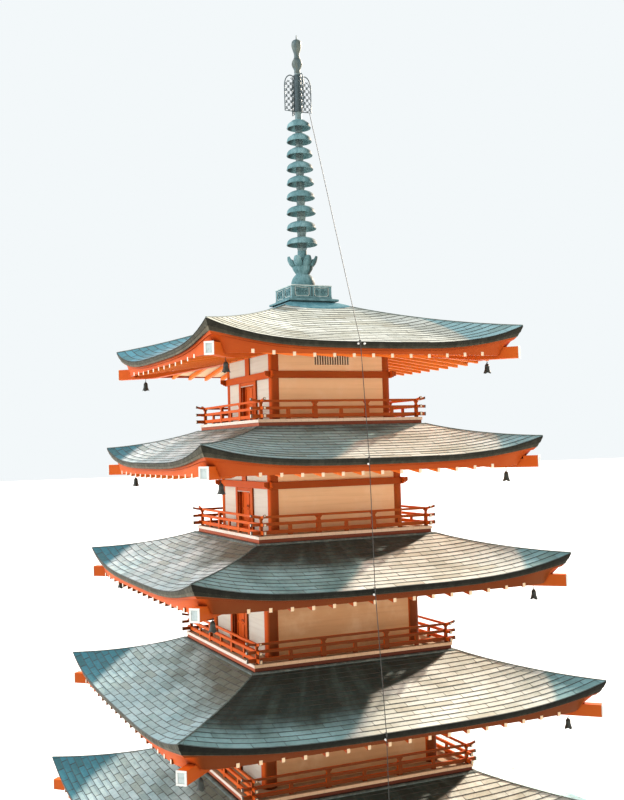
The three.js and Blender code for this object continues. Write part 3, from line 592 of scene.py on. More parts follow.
# A darker copy of the vermilion for the edge boards and the lower storeys' rafters: painted shade
VERMILION_DULL = painted_timber(
    "vermilion_oil_paint_in_painted_shade", "#B84A14", "#C65E26", "#541C0A", plain_sides="#8CA4B4", upper_share=0.35)
# A brighter copy of the vermilion for the upper storeys' rafters and the wall plates: painted glow, as of
# eave undersides lit by a low sun
VERMILION_SHELTERED = painted_timber(
    "vermilion_oil_paint_with_painted_glow", "#FF7A26", "#FF9644", "#B4480F", plain_sides="#B4BCC4")
# A brighter copy of the vermilion for the hip rafters: painted light on their sides
HIP_PAINT = painted_timber(
    "orange_hip_rafter_paint", "#D85A16", "#E47026", "#7C2A0C", plain_sides="#A8B4BC")
# A brighter copy of the vermilion for the door leaves, with lighter corners, that lifts them out of the shade
# of their recess: painted light
DOOR_PAINT = painted_timber(
    "orange_door_paint", "#E8601C", "#F07A34", "#B44414", plain_sides="#B8C4CA")
PLATE_WHITE = painted_timber("white_end_plate_paint", "#D2D5CF", "#C4C6BE", "#8C8070", 0.65)
END_WHITE = painted_timber(
    "shell_white_end_paint", "#E9E0D0", "#D8C8B0", "#8C6A4E", 0.65, plain_sides="#F2DEC4")
BOARD_CREAM = painted_timber("cream_boarding_paint", "#E8D2B2", "#D7B68C", "#8E6440", 0.65)
DECK_EDGE = painted_timber(
    "pale_deck_edge_paint", "#E6D6C8", "#CDB8A4", "#8A6C50", 0.6, plain_sides="#E4CCB0")
DECK_FLOOR = painted_timber("weathered_deck_boards", "#B79E80", "#A08A72", "#5E4C3A", 0.75, 0.003)
BAND_RED = painted_timber("red_oxide_paint", "#A85034", "#B86C4E", "#4A2418", plain_sides="#8C9294")
# Near-black board that stands for the shade inside the vent: painted shade
VENT_DARK = painted_timber("vent_backing_in_painted_shade", "#1A1512", "#241D18", "#0E0B09", 0.9)
COPPER = weathered_copper("weathered_copper_sheet_with_painted_light", True)
COPPER_OPEN = weathered_copper("weathered_copper_sheet_with_painted_light_in_the_open", False)
COPPER_UNDER = weathered_metal("dark_copper_underlay", "#2E2E2A", "#3A3B36", "#1E1D1A", 0.1, 0.75)
FASCIA = weathered_metal(
    "copper_edge_sheet", "#3B3A2F", "#555246", "#1F211B", 0.0, 0.6, plain_sides="#5E6460", shine=0.12)
FASCIA_LIP = weathered_metal(
    "copper_edge_lip", "#524E3F", "#6E6857", "#2A2A22", 0.0, 0.6, plain_sides="#626A66", shine=0.12)
FLASHING = weathered_metal("copper_flashing", "#4E5A56", "#76827C", "#2C322E", 0.1, 0.6, shine=0.3)
APRON = weathered_metal("blue_green_copper_apron", "#4F8792", "#74A2AA", "#35616A", 0.25, 0.45)
# The spire's bronze carries painted shade on its side towards +Y
BRONZE = weathered_metal(
    "blue_green_bronze_patina", "#577A7E", "#84A5A9", "#2E4042", 0.05, 0.65, 45.45,
    shine=0.1, baked_side="#5A5048")
BRONZE_EDGE = weathered_metal("worn_bronze_edges", "#A9B6B2", "#C4CCC6", "#667470", 0.2, 0.55, 45.45)
BRONZE_FIN = weathered_metal("dark_openwork_bronze", "#334246", "#4C5E62", "#1E282A", 0.3, 0.5, 33.33)
BRONZE_JEWEL = weathered_metal("stained_bronze_jewel", "#44585C", "#6A6A58", "#2C2A26", 0.3, 0.55, 55.56)
BRONZE_DARK = weathered_metal(
    "brown_bronze_patina", "#2C322E", "#444A44", "#161916", 0.1, 0.5, 33.33, shine=0.3)
BRONZE_SHAFT = weathered_metal("stained_bronze_shaft", "#5A7072", "#86968F", "#384446", 0.3, 0.55, 38.46)
RAIL_CAP = weathered_metal("brown_rail_cap_sheet", "#4C4038", "#6A5C50", "#2A231E", 0.3, 0.55, 25)
PLATE_BLUE = weathered_metal("blue_grey_end_plate", "#AAB6B4", "#C0C8C4", "#6E7876", 0.1, 0.6, shine=0.2)
WIRE_STEEL = weathered_metal(
    "stranded_steel_wire", "#40403D", "#585751", "#262623", 0.3, 0.55, 12.5, shine=0.3)
PLASTER = lime_plaster("lime_plaster")
GRANITE = cut_granite("cut_granite")
PORCELAIN = glazed_porcelain("glazed_porcelain")


# Mesh making

BOX_FACES = [(0, 1, 3, 2), (4, 6, 7, 5), (0, 4, 5, 1), (2, 3, 7, 6), (0, 2, 6, 4), (1, 5, 7, 3)]
SQUARE = ((-1, -1), (1, -1), (1, 1), (-1, 1))
HALF_SIDE = (1, 0.97, 0.94, 0.9, 0.85, 0.78, 0.7, 0.6, 0.45, 0.25)
SIDE_SHARES = [-share for share in HALF_SIDE] + [0] + sorted(HALF_SIDE[1:])


class Piece:
    """Points and faces of one piece while it is being made."""

    def __init__(self, name, slot, replaces=()):
        self.name, self.slot, self.replaced = name, slot, replaces
        self.points, self.marks, self.seams = [], [], []
        self.faces, self.face_finishes, self.finishes = [], [], []

    def solid(self, points, faces, marks, finish, seams=None):
        """Adds a closed form. finish is one material, or one for each face."""
        base = len(self.points)
        offset = Vector((DICE.uniform(0, 40), DICE.uniform(0, 40), DICE.uniform(0, 40)))
        self.points += [tuple(p) for p in points]
        self.marks += [tuple(Vector(m) + offset) if seams is None else tuple(m) for m in marks]
        self.seams += seams if seams is not None else [0.0] * len(points)
        for i, face in enumerate(faces):
            self.faces.append([base + j for j in face])
            chosen = finish[i] if isinstance(finish, list) else finish
            if chosen not in self.finishes:
                self.finishes.append(chosen)
            self.face_finishes.append(self.finishes.index(chosen))

    def make(self, bevel=0.0, segments=2, smooth_angle=35):
        mesh = bpy.data.meshes.new(self.name)
        mesh.from_pydata(self.points, [], self.faces)
        for finish in self.finishes:
            mesh.materials.append(finish)
        mesh.polygons.foreach_set("material_index", self.face_finishes)
        member = mesh.attributes.new("member", "FLOAT_VECTOR", "POINT")
        member.data.foreach_set("vector", [c for m in self.marks for c in m])
        seam = mesh.attributes.new("seam", "FLOAT", "POINT")
        seam.data.foreach_set("value", self.seams)
        mesh.polygons.foreach_set("use_smooth", [True] * len(self.faces))
        mesh.set_sharp_from_angle(angle=math.radians(smooth_angle))
        mesh.validate()
        piece = bpy.data.objects.new(self.name, mesh)
        bpy.context.scene.collection.objects.link(piece)
        if bevel:
            rounding = piece.modifiers.new("worn_arrises", "BEVEL")
            rounding.width = bevel
            rounding.segments = segments
            rounding.limit_method = "ANGLE"
            rounding.angle_limit = math.radians(smooth_angle)
            rounding.harden_normals = True
            rounding.use_clamp_overlap = True
        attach(piece, BODY)
        if self.replaced:
            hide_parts(*self.replaced)


def on_side(side, along, out, z):
    """A point on one of the four sides: along it to the right as seen from outside, and out from the axis."""
    turned_to = {"front": (along, -out), "right": (out, along), "back": (-along, out), "left": (-out, -along)}
    return Vector((*turned_to[side], z))


def on_corner(signs, distance, aside, z):
    """A point out on the line of a hip, and aside from it."""
    x_sign, y_sign = signs
    across = Vector((-y_sign, x_sign, 0)).normalized()
    return Vector((x_sign * distance, y_sign * distance, z)) + aside * across


def cut(side, along, out, z):
    """Section of a member along a side: its lower inner, lower outer, upper outer and upper inner point."""
    (o0, o1), (z0, z1) = out, z
    return [on_side(side, along, o, h) for o, h in ((o0, z0), (o1, z0), (o1, z1), (o0, z1))]


def outward(points, faces):
    """The faces of a convex form, each wound so that it faces away from the middle."""
    middle = sum(points, Vector()) / len(points)
    wound = []
    for face in faces:
        a, b, c = (points[face[i]] for i in range(3))
        away = (b - a).cross(c - a).dot(a - middle)
        wound.append(tuple(face) if away > 0 else tuple(reversed(face)))
    return wound


def block(piece, side, along, out, z, finish):
    """A squared member on one side, from low to high along, out and up, grained along its longest way."""
    corners = [(a, o, h) for a in along for o in out for h in z]
    points = [on_side(side, *c) for c in corners]
    spans = [high - low for low, high in (along, out, z)]
    order = sorted(range(3), key=lambda i: -spans[i])
    marks = [[c[i] for i in order] for c in corners]
    piece.solid(points, outward(points, BOX_FACES), marks, finish)


def loft(piece, sections, finish, closed=False):
    """A form through like sections. finish is one material, or one for each strip of the section."""
    count = len(sections[0])
    points, marks, faces, finishes = [], [], [], []
    strips = finish if isinstance(finish, list) else [finish] * count
    length = 0.0
    for i, section in enumerate(sections):
        if i:
            length += (Vector(section[0]) - Vector(sections[i - 1][0])).length
        girth = 0.0
        for j, point in enumerate(section):
            if j:
                girth += (Vector(point) - Vector(section[j - 1])).length
            points.append(Vector(point))
            marks.append((length, girth, 0.0))
    for i in range(len(sections) if closed else len(sections) - 1):
        here, there = i * count, ((i + 1) % len(sections)) * count
        for j in range(count):
            after = (j + 1) % count
            faces.append((here + j, there + j, there + after, here + after))
            finishes.append(strips[j])
    if not closed:
        last = (len(sections) - 1) * count
        faces.append(tuple(range(count)))
        faces.append(tuple(last + j for j in reversed(range(count))))
        finishes += [strips[0]] * 2
    piece.solid(points, faces, marks, finishes)


def ring_of(section_at):
    """A closed loop round the four sides of a section, given as (out, z) at each share of a side."""
    return [[on_side(side, share * out, out, z) for out, z in section_at(abs(share))]
            for side in SIDES for share in SIDE_SHARES]


def turned(piece, profile, finish, centre=(0, 0), sides=40, ripple=None):
    """A turned form from (radius, z) that runs up the outside, closed on the axis at both ends.
    ripple(angle, z) scales the radius and may move a point up or down."""
    x0, y0 = centre
    points, marks, faces = [], [], []
    for radius, z in profile:
        for angle in angles_round(sides):
            swell, rise = ripple(angle, z) if ripple else (1.0, 0.0)
            r = radius * swell
            points.append(Vector((x0 + r * math.cos(angle), y0 + r * math.sin(angle), z + rise)))
            marks.append((z, angle * max(radius, 0.02), 0.0))
    for row in range(len(profile) - 1):
        for i in range(sides):
            j = (i + 1) % sides
            faces.append((row * sides + i, row * sides + j, (row + 1) * sides + j, (row + 1) * sides + i))
    for row in (0, len(profile) - 1):
        hub = len(points)
        points.append(Vector((x0, y0, profile[row][1])))
        marks.append((profile[row][1], 0.0, 0.0))
        for i in range(sides):
            a, b = row * sides + i, row * sides + (i + 1) % sides
            faces.append((hub, a, b) if row else (hub, b, a))
    piece.solid(points, faces, marks, finish)


def tube(piece, path, radius, finish, sides=10, closed=False):
    """A round bar along a path of points, with an even radius or one for each point."""
    path = [Vector(p) for p in path]
    radii = radius if isinstance(radius, list) else [radius] * len(path)
    sections = []
    for i, (point, r) in enumerate(zip(path, radii)):
        back = path[i - 1] if closed or i else point
        ahead = path[(i + 1) % len(path)] if closed or i + 1 < len(path) else point
        heading = (ahead - back).normalized()
        across = heading.cross(Vector((0.31, 0.17, 0.93))).normalized()
        up = heading.cross(across)
        sections.append([point + r * (math.cos(a) * across + math.sin(a) * up) for a in angles_round(sides)])
    loft(piece, sections, finish, closed)


# Roofs


def roof_base(tier, number):
    """Boarded ground of the roof with its stepped edge, under the copper sheets."""
    piece = Piece(f"roof_{number}_base_and_edge", "copper", (f"roof_{number}",))
    inner = TOP_ROOF_INNER if tier is TOP else above(tier).deck_half - LEDGE
    edge, middle = tier.eave_half, (tier.rim_half + tier.eave_half) / 2

    def section(share):
        top = [(d, roof_z(tier, d, share) - 0.002) for d in spread(tier.rim_half, edge, ROOF_ROWS)]
        top[-1] = (top[-1][0] - SHEET_OVERHANG, top[-1][1])
        h, lean = fascia_height(share), fascia_lean(share)
        z = roof_z(tier, edge, share)
        stepped_edge = [
            (edge, z - 0.008),
            (edge - 0.002, z - 0.02),
            (edge - lean * 0.5, z - h * 0.58),
            (edge - lean * 0.5 - 0.010, z - h * 0.60),
            (edge - lean * 0.9 - 0.010, z - h * 0.95),
            (edge - lean - 0.016, z - h),
        ]
        under = [(d, roof_z(tier, d, share) - SHEET_THICKNESS) for d in (middle, tier.rim_half)]
        return [(inner, rim_z(tier))] + top + stepped_edge + under + [(inner, rim_z(tier) - SHEET_THICKNESS)]

    finishes = [COPPER_UNDER] * (ROOF_ROWS + 1) + [FASCIA] * 4 + [FASCIA_LIP] * 2 + [COPPER_UNDER] * 4
    loft(piece, ring_of(section), finishes, closed=True)
    piece.make(smooth_angle=32)


def copper_sheets(tier, number):
    """Courses of copper sheets in running bond, each a thin plate that laps over the course below."""
    piece = Piece(f"roof_{number}_copper_sheets", "copper")
    courses = round((tier.eave_half - tier.rim_half) / COURSE_DEPTH)
    depth = (tier.eave_half - tier.rim_half) / courses
    for side in SIDES:
        joints = DOOR_SIDE_JOINTS if side in DOOR_SIDES else PLAIN_SIDE_JOINTS
        gap = SHEET_GAP if side in DOOR_SIDES else SHEET_GAP / 2
        for course in range(courses):
            low = tier.eave_half - course * depth + (0 if course else SHEET_OVERHANG)
            high = max(tier.rim_half + 0.001, low - depth - COURSE_LAP)
            joint = joints[course % 2]
            start = joint - SHEET_LENGTH * math.ceil((low + joint) / SHEET_LENGTH)
            while start < low:
                sheet(piece, tier, side, start + gap / 2, start + SHEET_LENGTH - gap / 2, low, high)
                start += SHEET_LENGTH
    piece.make(smooth_angle=40)


def sheet(piece, tier, side, left, right, low, high):
    """One sheet between two joints and two course lines, cut off at the hips."""
    if right < SMALLEST_SHEET - low or left > low - SMALLEST_SHEET:
        return
    on_door_side = side in DOOR_SIDES
    nose = SHEET_NOSE + DICE.uniform(-0.002, 0.003)
    joint_dark, seam_width = (1.0, WIDE_SEAM) if on_door_side else (0.6, SEAM_WIDTH)
    # Each row holds its distance from the axis, its height over the roof and how dark a seam it is
    rows = [
        (high, -0.001, 0.3),
        (high, 0.003, 0.3),
        (low - SEAM_WIDTH, nose - 0.0015, 0.0),
        (low - 0.004, nose, 1.0),
        (low, nose - 0.003, 1.0),
        (low, nose - SHEET_EDGE - 0.002, 1.0),
    ]
    points, marks, seams = [], [], []
    for d, stand, seam in rows:
        reach = min(d, tier.eave_half)
        hip = reach - SHEET_HIP_GAP
        a, b = max(left, -hip), min(right, hip)
        if b - a < POINTED_SHEET:
            middle = max(-hip, min(hip, (a + b) / 2))
            a, b = middle - POINTED_SHEET / 2, middle + POINTED_SHEET / 2
        inset = min(seam_width, (b - a) / 4)
        slope = (d - tier.rim_half) / (tier.eave_half - tier.rim_half)
        for u in (a, a + inset, (a + b) / 2, b - inset, b):
            share = min(1.0, abs(u) / reach)
            points.append(on_side(side, u, d, roof_z(tier, reach, share) + stand))
            marks.append((u / reach, slope, 1.0 if on_door_side else 0.0))
            seams.append(max(seam, joint_dark) if u in (a, b) else seam)
    across, down = 5, len(rows)
    faces = []
    for r in range(down):
        q = (r + 1) % down
        for i in range(across - 1):
            faces.append((r * across + i, q * across + i, q * across + i + 1, r * across + i + 1))
    faces.append(tuple(r * across for r in reversed(range(down))))
    faces.append(tuple(r * across + across - 1 for r in range(down)))
    piece.solid(points, faces, marks, COPPER_OPEN if tier is TOP else COPPER, seams)


def hip_seam(tier, number):
    """A slim folded seam down each hip, and a strip or skirt of copper round the top of the slope."""
    piece = Piece(f"roof_{number}_seams_and_flashing", "copper")
    rim, half = tier.rim_half, HIP_SEAM_HALF
    fold = ((-half, -0.02), (-half, 0.004), (0, 0.010), (half, 0.004), (half, -0.02))
    for signs in CORNERS:
        sections = []
        for d in spread(rim, tier.eave_half - SHEET_OVERHANG, HIP_SEAM_STATIONS):
            z = roof_z(tier, d, 1.0) + SHEET_NOSE
            sections.append([on_corner(signs, d, aside, z + up) for aside, up in fold])
        loft(piece, sections, FLASHING)

    def over(share, rows):
        return [(d, roof_z(tier, d, share) + stand) for d, stand in rows]

    def skirt(share):
        """Smooth sheet copper round the foot of the spire, rounded along its lower edge."""
        edge = 0.87 - 0.12 * share ** 2
        inner = [(0.45, rim_z(tier) - 0.02), (0.45, rim_z(tier) - 0.003)]
        return inner + over(share, (
            (rim, 0.03), ((rim + edge) / 2, 0.03), (edge - 0.02, 0.028),
            (edge - 0.004, 0.02), (edge, 0.008), (edge, -0.01)))

    def strip(share):
        inner = [(rim - 0.03, rim_z(tier) + 0.004), (rim - 0.012, rim_z(tier) + 0.016)]
        return over(share, ((rim - 0.03, -0.01),)) + inner + over(share, (
            (rim + 0.02, 0.022), (rim + 0.04, 0.022), (rim + 0.054, 0.016), (rim + 0.055, 0.004)))

    if tier is TOP:
        loft(piece, ring_of(skirt), APRON, closed=True)
    else:
        loft(piece, ring_of(strip), FLASHING, closed=True)
    piece.make(smooth_angle=50)


# Eaves


def board_low(tier):
    return soffit_z(tier, rafter_reach(tier), 0) - EDGE_BOARD_DROP


def board_face(tier, share, z):
    """How far out the edge boards' face stands: upright at mid-side, leaning in at the corners."""
    outer = tier.eave_half - EDGE_BOARD_SETBACK
    top = roof_underside_z(tier, outer, share)
    return outer - BOARD_CORNER_LEAN * share ** BOARD_LEAN_POWER * (top - z) / (top - board_low(tier))


def edge_boards(tier, number):
    """Two layers of curved boards under the roof's edge."""
    piece = Piece(f"eaves_{number}_edge_boards", "vermilion", (f"eaves_{number}",))
    outer = tier.eave_half - EDGE_BOARD_SETBACK
    inner = outer - EDGE_BOARD_THICKNESS

    def upper(share):
        inner_z, outer_z = (roof_underside_z(tier, d, share) - EDGE_BOARD_JOINT for d in (inner, outer))
        low = outer_z - EDGE_BOARD_UPPER
        face = board_face(tier, share, low)
        return [(inner, inner_z), (outer, outer_z), (face, low), (face - EDGE_BOARD_THICKNESS, low)]

    def lower(share):
        high = roof_underside_z(tier, outer, share) - EDGE_BOARD_UPPER - EDGE_BOARD_JOINT
        low = board_low(tier)
        high_face, low_face = (board_face(tier, share, z) - EDGE_BOARD_STEP for z in (high, low))
        return [(high_face - EDGE_BOARD_THICKNESS, high), (high_face, high),
                (low_face, low), (low_face - EDGE_BOARD_THICKNESS, low)]

    for layer_of_boards in (upper, lower):
        # The edge boards take the darker copy of the vermilion: painted shade
        loft(piece, ring_of(layer_of_boards), VERMILION_DULL, closed=True)
    piece.make(bevel=0.004)


def rafters(tier, number):
    """Parallel rafters with white ends, square to each wall, and those that die into the hip rafters."""
    piece = Piece(f"eaves_{number}_rafters", "vermilion")
    ends = Piece(f"eaves_{number}_rafter_end_plates", "vermilion")
    reach = rafter_reach(tier) + RAFTER_NOSE
    half = RAFTER_WIDTH / 2
    for side in SIDES:
        row = DOOR_ROW if side in DOOR_SIDES else PLAIN_ROW
        last = math.floor((tier.eave_half - row.corner) / RAFTER_PITCH - row.shift) + row.shift
        for i in range(round(2 * last) + 1):
            y = (i - last) * RAFTER_PITCH
            inner = wall_half(tier) - RAFTER_BITE if abs(y) < wall_half(tier) else abs(y) + RAFTER_WIDTH
            sections = []
            for d in (inner, reach):
                top = soffit_z(tier, d, y)
                sections.append([on_side(side, y + a * half, d, top if up > 0 else top - RAFTER_HEIGHT)
                                 for a, up in SQUARE])
            # The upper storeys' rafters take the brighter copy of the vermilion, a painted glow, and the
            # lower ones the darker copy, painted shade
            loft(piece, sections, VERMILION_SHELTERED if number > 3 else VERMILION_DULL)
            width, top = half - END_PLATE_INSET, soffit_z(tier, reach, y)
            block(ends, side, (y - width, y + width), [reach + out for out in END_PLATE_OUT],
                  (top - RAFTER_HEIGHT + END_PLATE_INSET, top - END_PLATE_INSET), END_WHITE)
    piece.make(bevel=0.004)
    ends.make(bevel=0.002)


def soffit(tier, number):
    """Cream boards over the rafters, laid along the eave with open joints, wall plate and ceiling edge."""
    piece = Piece(f"eaves_{number}_boarding", "vermilion")
    start, reach = wall_half(tier), rafter_reach(tier)
    outer = tier.eave_half - EDGE_BOARD_SETBACK - EDGE_BOARD_STEP - EDGE_BOARD_THICKNESS
    corner_z = soffit_z(tier, reach, reach)
    tip = board_face(tier, 1, corner_z) - EDGE_BOARD_STEP - EDGE_BOARD_THICKNESS / 2
    boards = round((outer - start) / SOFFIT_BOARD)
    width = (outer - start) / boards
    ceiling = wall_top(tier) + PLATE_HEIGHT
    for side in SIDES:
        for i in range(boards):
            d0, d1 = start + i * width + SOFFIT_JOINT / 2, start + (i + 1) * width - SOFFIT_JOINT / 2
            sections = []
            for share in (-1, -0.8, -start / d1, 0, start / d1, 0.8, 1):
                section = []
                for d, up in ((d0, 0), (d1, 0), (d1, SOFFIT_THICKNESS), (d0, SOFFIT_THICKNESS)):
                    out = min(d, tip) if abs(share) == 1 else d
                    u = min(max(share * d, -tip), tip)
                    section.append(on_side(side, u, out, soffit_z(tier, out, u) + up))
                sections.append(section)
            loft(piece, sections, BOARD_CREAM)
        plate = start + PLATE_PROUD
        # The wall plate takes the brighter copy of the vermilion: painted glow
        block(piece, side, (-plate, plate), (start - 0.06, plate), (wall_top(tier), ceiling),
              VERMILION_SHELTERED)
        block(piece, side, (-start, start), (start - KERB_THICKNESS, start - 0.061),
              (ceiling - CEILING_THICKNESS, ceiling), BOARD_CREAM)
    piece.make(bevel=0.002, segments=1)


def hip_rafters(tier, number):
    """Heavy hip rafters with white end plates, level out to the bells, rising from there to the wall."""
    piece = Piece(f"eaves_{number}_hip_rafters", "vermilion")
    low = tier.eave_z - tier.hip_drop
    start = tier.column_half + tier.column_radius / math.sqrt(2)
    level, end = tier.eave_half - HIP_LEVEL, tier.eave_half - HIP_SETBACK
    shoulder = board_face(tier, 1, low + HIP_HEIGHT) - EDGE_BOARD_STEP - 0.02
    tops = [(d, soffit_z(tier, d, d) + HIP_BITE) for d in (start, level, shoulder)]
    tops += [(d, low + HIP_HEIGHT) for d in (shoulder + 0.002, end)]
    for signs in CORNERS:
        sections = []
        for d, top in tops:
            under = low + HIP_SLOPE * max(0, level - d)
            sections.append([on_corner(signs, d, aside * HIP_WIDTH / 2, top if up > 0 else under)
                             for aside, up in SQUARE])
        loft(piece, sections, HIP_PAINT)
        end_plate(piece, signs, on_corner(signs, end, 0, low + HIP_HEIGHT / 2))
    piece.make(bevel=0.004)


def end_plate(piece, signs, middle):
    """White frame round a shallow blue-grey panel that covers the end of a hip rafter."""
    x_sign, y_sign = signs
    out = Vector((x_sign, y_sign, 0)).normalized()
    across = Vector((-y_sign, x_sign, 0)).normalized()
    up = Vector((0, 0, 1))
    wide, high = HIP_WIDTH / 2 + END_PLATE_LAP, HIP_HEIGHT / 2 + END_PLATE_LAP
    inner_wide, inner_high = wide - END_PLATE_RIM, high - END_PLATE_RIM
    bars = [
        ((-wide, wide), (inner_high, high), END_PLATE_PROUD, PLATE_WHITE),
        ((-wide, wide), (-high, -inner_high), END_PLATE_PROUD, PLATE_WHITE),
        ((-wide, -inner_wide), (-inner_high, inner_high), END_PLATE_PROUD, PLATE_WHITE),
        ((inner_wide, wide), (-inner_high, inner_high), END_PLATE_PROUD, PLATE_WHITE),
        ((-inner_wide, inner_wide), (-inner_high, inner_high), END_PLATE_PROUD * 0.4, PLATE_BLUE),
    ]
    for along, heights, proud, paint in bars:
        corners = [(a, o, z) for a in along for o in (-0.004, proud) for z in heights]
        points = [middle + a * across + z * up + o * out for a, o, z in corners]
        piece.solid(points, outward(points, BOX_FACES), [(z, a, 0) for a, o, z in corners], paint)


def wind_bells(tier, number):
    """Cast wind bells with a four-lobed lip, raised bands, a hook, a clapper and its tongue."""
    piece = Piece(f"eaves_{number}_wind_bells", "bronze")
    hang = tier.eave_z - tier.hip_drop
    crown = hang - BELL_HOOK
    lip = crown - BELL_HEIGHT
    inside = [(0.0, 0.16), (0.40, 0.156), (0.55, 0.1), (0.66, 0.05)]
    outside = [
        (0.90, 0.004), (1.0, 0.0), (1.0, 0.006), (0.86, 0.028), (0.74, 0.05), (0.74, 0.058), (0.68, 0.066),
        (0.62, 0.1), (0.60, 0.128), (0.64, 0.133), (0.64, 0.14), (0.57, 0.146), (0.50, 0.165), (0.32, 0.182),
        (0.16, BELL_HEIGHT),
    ]
    tongue = [(0.001, 0.004), (0.018, 0.012), (0.022, 0.022), (0.016, 0.033), (0.001, 0.038)]

    def lobes(angle, z):
        share = max(0.0, 1 - (z - lip) / 0.05)
        return 1 + 0.07 * share * math.cos(4 * angle), -0.012 * share * math.cos(4 * angle)

    for x_sign, y_sign in CORNERS:
        x, y = (sign * (tier.eave_half - BELL_SETBACK) for sign in (x_sign, y_sign))
        turned(piece, [(share * BELL_RADIUS, lip + up) for share, up in inside + outside],
               BRONZE_DARK, (x, y), 32, lobes)
        loop = [(x + 0.013 * math.cos(a), y + 0.013 * math.sin(a) * y_sign * x_sign,
                 crown + 0.012 + 0.018 * math.sin(a)) for a in angles_round(12)]
        tube(piece, loop, 0.0045, BRONZE_DARK, 8, closed=True)
        for top, bottom, radius in ((crown + 0.026, hang + 0.01, 0.005), (crown - 0.05, lip + 0.008, 0.0035)):
            tube(piece, [(x, y, top), (x, y, bottom)], radius, BRONZE_DARK, 8)
        turned(piece, [(radius, lip + up) for radius, up in tongue], BRONZE_DARK, (x, y), 16)
    piece.make()


# Timber frame, doors and vents


def timber_frame(tier, number):
    """Round corner columns, tie beams with shaped noses, door posts, lintels and struts."""
    piece = Piece(f"frame_{number}_timbers", "vermilion", (f"frame_{number}",))
    outer, top = wall_half(tier), wall_top(tier)
    low = tier.floor + tier.beam_rise
    face, proud = outer + FACE_GAP, outer + BEAM_PROUD
    beam = low + (HIDDEN_BEAM_RAISE if number == 3 else 0)
    r, z = tier.column_radius, tier.floor
    column = [(r, z), (r * 1.02, z + 0.01), (r * 1.02, z + 0.05), (r, z + 0.055),
              (r, z + 0.3), (r, (z + top) / 2), (r, top)]
    for x_sign, y_sign in CORNERS:
        turned(piece, column, VERMILION, (x_sign * tier.column_half, y_sign * tier.column_half))
    lintel, doorway = low - DOOR_LINTEL, (-DOOR_HALF, DOOR_HALF)
    for side in SIDES:
        drop = 0.0 if side in DOOR_SIDES else PLAIN_BEAM_DROP
        tie_beam(piece, side, (face, proud), beam - drop, tier.beam_height)
        if side not in DOOR_SIDES:
            continue
        for sign in (-1, 1):
            block(piece, side, mirrored(sign, DOOR_HALF, DOOR_HALF + DOOR_POST),
                  (face, proud - POST_SETBACK), (tier.floor, beam), VERMILION)
            block(piece, side, mirrored(sign, DOOR_HALF - DOOR_LINING, DOOR_HALF),
                  (outer - DOOR_RECESS + 0.001, face), (tier.floor + DOOR_SILL, lintel), VERMILION)
        block(piece, side, doorway, (outer - DOOR_RECESS, proud - LINTEL_SETBACK), (lintel, beam), VERMILION)
        block(piece, side, doorway, (face, proud - LINTEL_LINE_SETBACK),
              (lintel - LINTEL_LINE, lintel), DECK_EDGE)
        block(piece, side, doorway, (outer - DOOR_RECESS, proud),
              (tier.floor, tier.floor + DOOR_SILL), VERMILION)
        block(piece, side, (-STRUT_WIDTH / 2, STRUT_WIDTH / 2), (face, outer + PLATE_PROUD),
              (beam + tier.beam_height, top), VERMILION)
    piece.make(bevel=0.006)


def tie_beam(piece, side, out, low, height):
    """A tie beam across one side whose ends run past the corner and step in underneath."""
    body_end = out[1]
    nose = [(body_end, low), (body_end + 0.012, low + 0.1 * height), (body_end + 0.05, low + 0.14 * height),
            (body_end + 0.056, low + 0.26 * height), (body_end + 0.09, low + 0.32 * height),
            (body_end + BEAM_NOSE, low + 0.46 * height)]
    ends = [(-along, under) for along, under in reversed(nose)] + nose
    loft(piece, [cut(side, along, out, (under, low + height)) for along, under in ends], VERMILION)


def door(tier, number, side):
    """Two closed leaves of framed planks with ledges, studs and a pull ring each."""
    piece = Piece(f"door_{number}_{side}_leaves", "vermilion", (f"door_{number}_{side}",))
    fittings = Piece(f"door_{number}_{side}_fittings", "bronze")
    front = wall_half(tier) - DOOR_RECESS
    back = front - DOOR_THICKNESS
    low, high = tier.floor + DOOR_SILL + DOOR_GAP, tier.floor + tier.beam_rise - DOOR_LINTEL - DOOR_GAP
    tall = high - low > TALL_DOOR
    ledges = [(low, low + LOW_LEDGE), (high - HIGH_LEDGE, high)]
    for z in spread(low, high, 4 if tall else 2)[1:-1]:
        ledges.append((z - MIDDLE_LEDGE / 2, z + MIDDLE_LEDGE / 2))
    ring_z = low + (high - low) * (0.42 if tall else 0.5) + 0.06
    for sign in (-1, 1):
        a0, a1 = mirrored(sign, PLANK_JOINT / 2, DOOR_HALF - DOOR_GAP)
        inner0, inner1 = a0 + DOOR_STILE, a1 - DOOR_STILE
        for along in ((a0, inner0), (inner1, a1)):
            block(piece, side, along, (back, front), (low, high), DOOR_PAINT)
        for z in ledges:
            block(piece, side, (inner0, inner1), (back, front - LEDGE_SETBACK), z, DOOR_PAINT)
        joints = spread(inner0, inner1, DOOR_PLANKS)
        for start, end in zip(joints, joints[1:]):
            block(piece, side, (start + PLANK_JOINT / 2, end - PLANK_JOINT / 2),
                  (back + LEDGE_SETBACK, front - PLANK_SETBACK),
                  (low + LOW_LEDGE, high - HIGH_LEDGE), DOOR_PAINT)
        x, r = sign * PULL_OFFSET, PULL_RADIUS
        pull = [on_side(side, x + r * math.cos(a), front + 0.009, ring_z + r * math.sin(a))
                for a in angles_round(14)]
        tube(fittings, pull, PULL_BAR, BRONZE_DARK, 8, closed=True)
        stud(fittings, side, x, front, ring_z + 0.02, 0.011)
        for z0, z1 in ledges:
            for x_stud in (a0 + DOOR_STILE / 2, a1 - DOOR_STILE / 2):
                stud(fittings, side, x_stud, front, (z0 + z1) / 2, 0.008)
    piece.make(bevel=0.003)
    fittings.make()


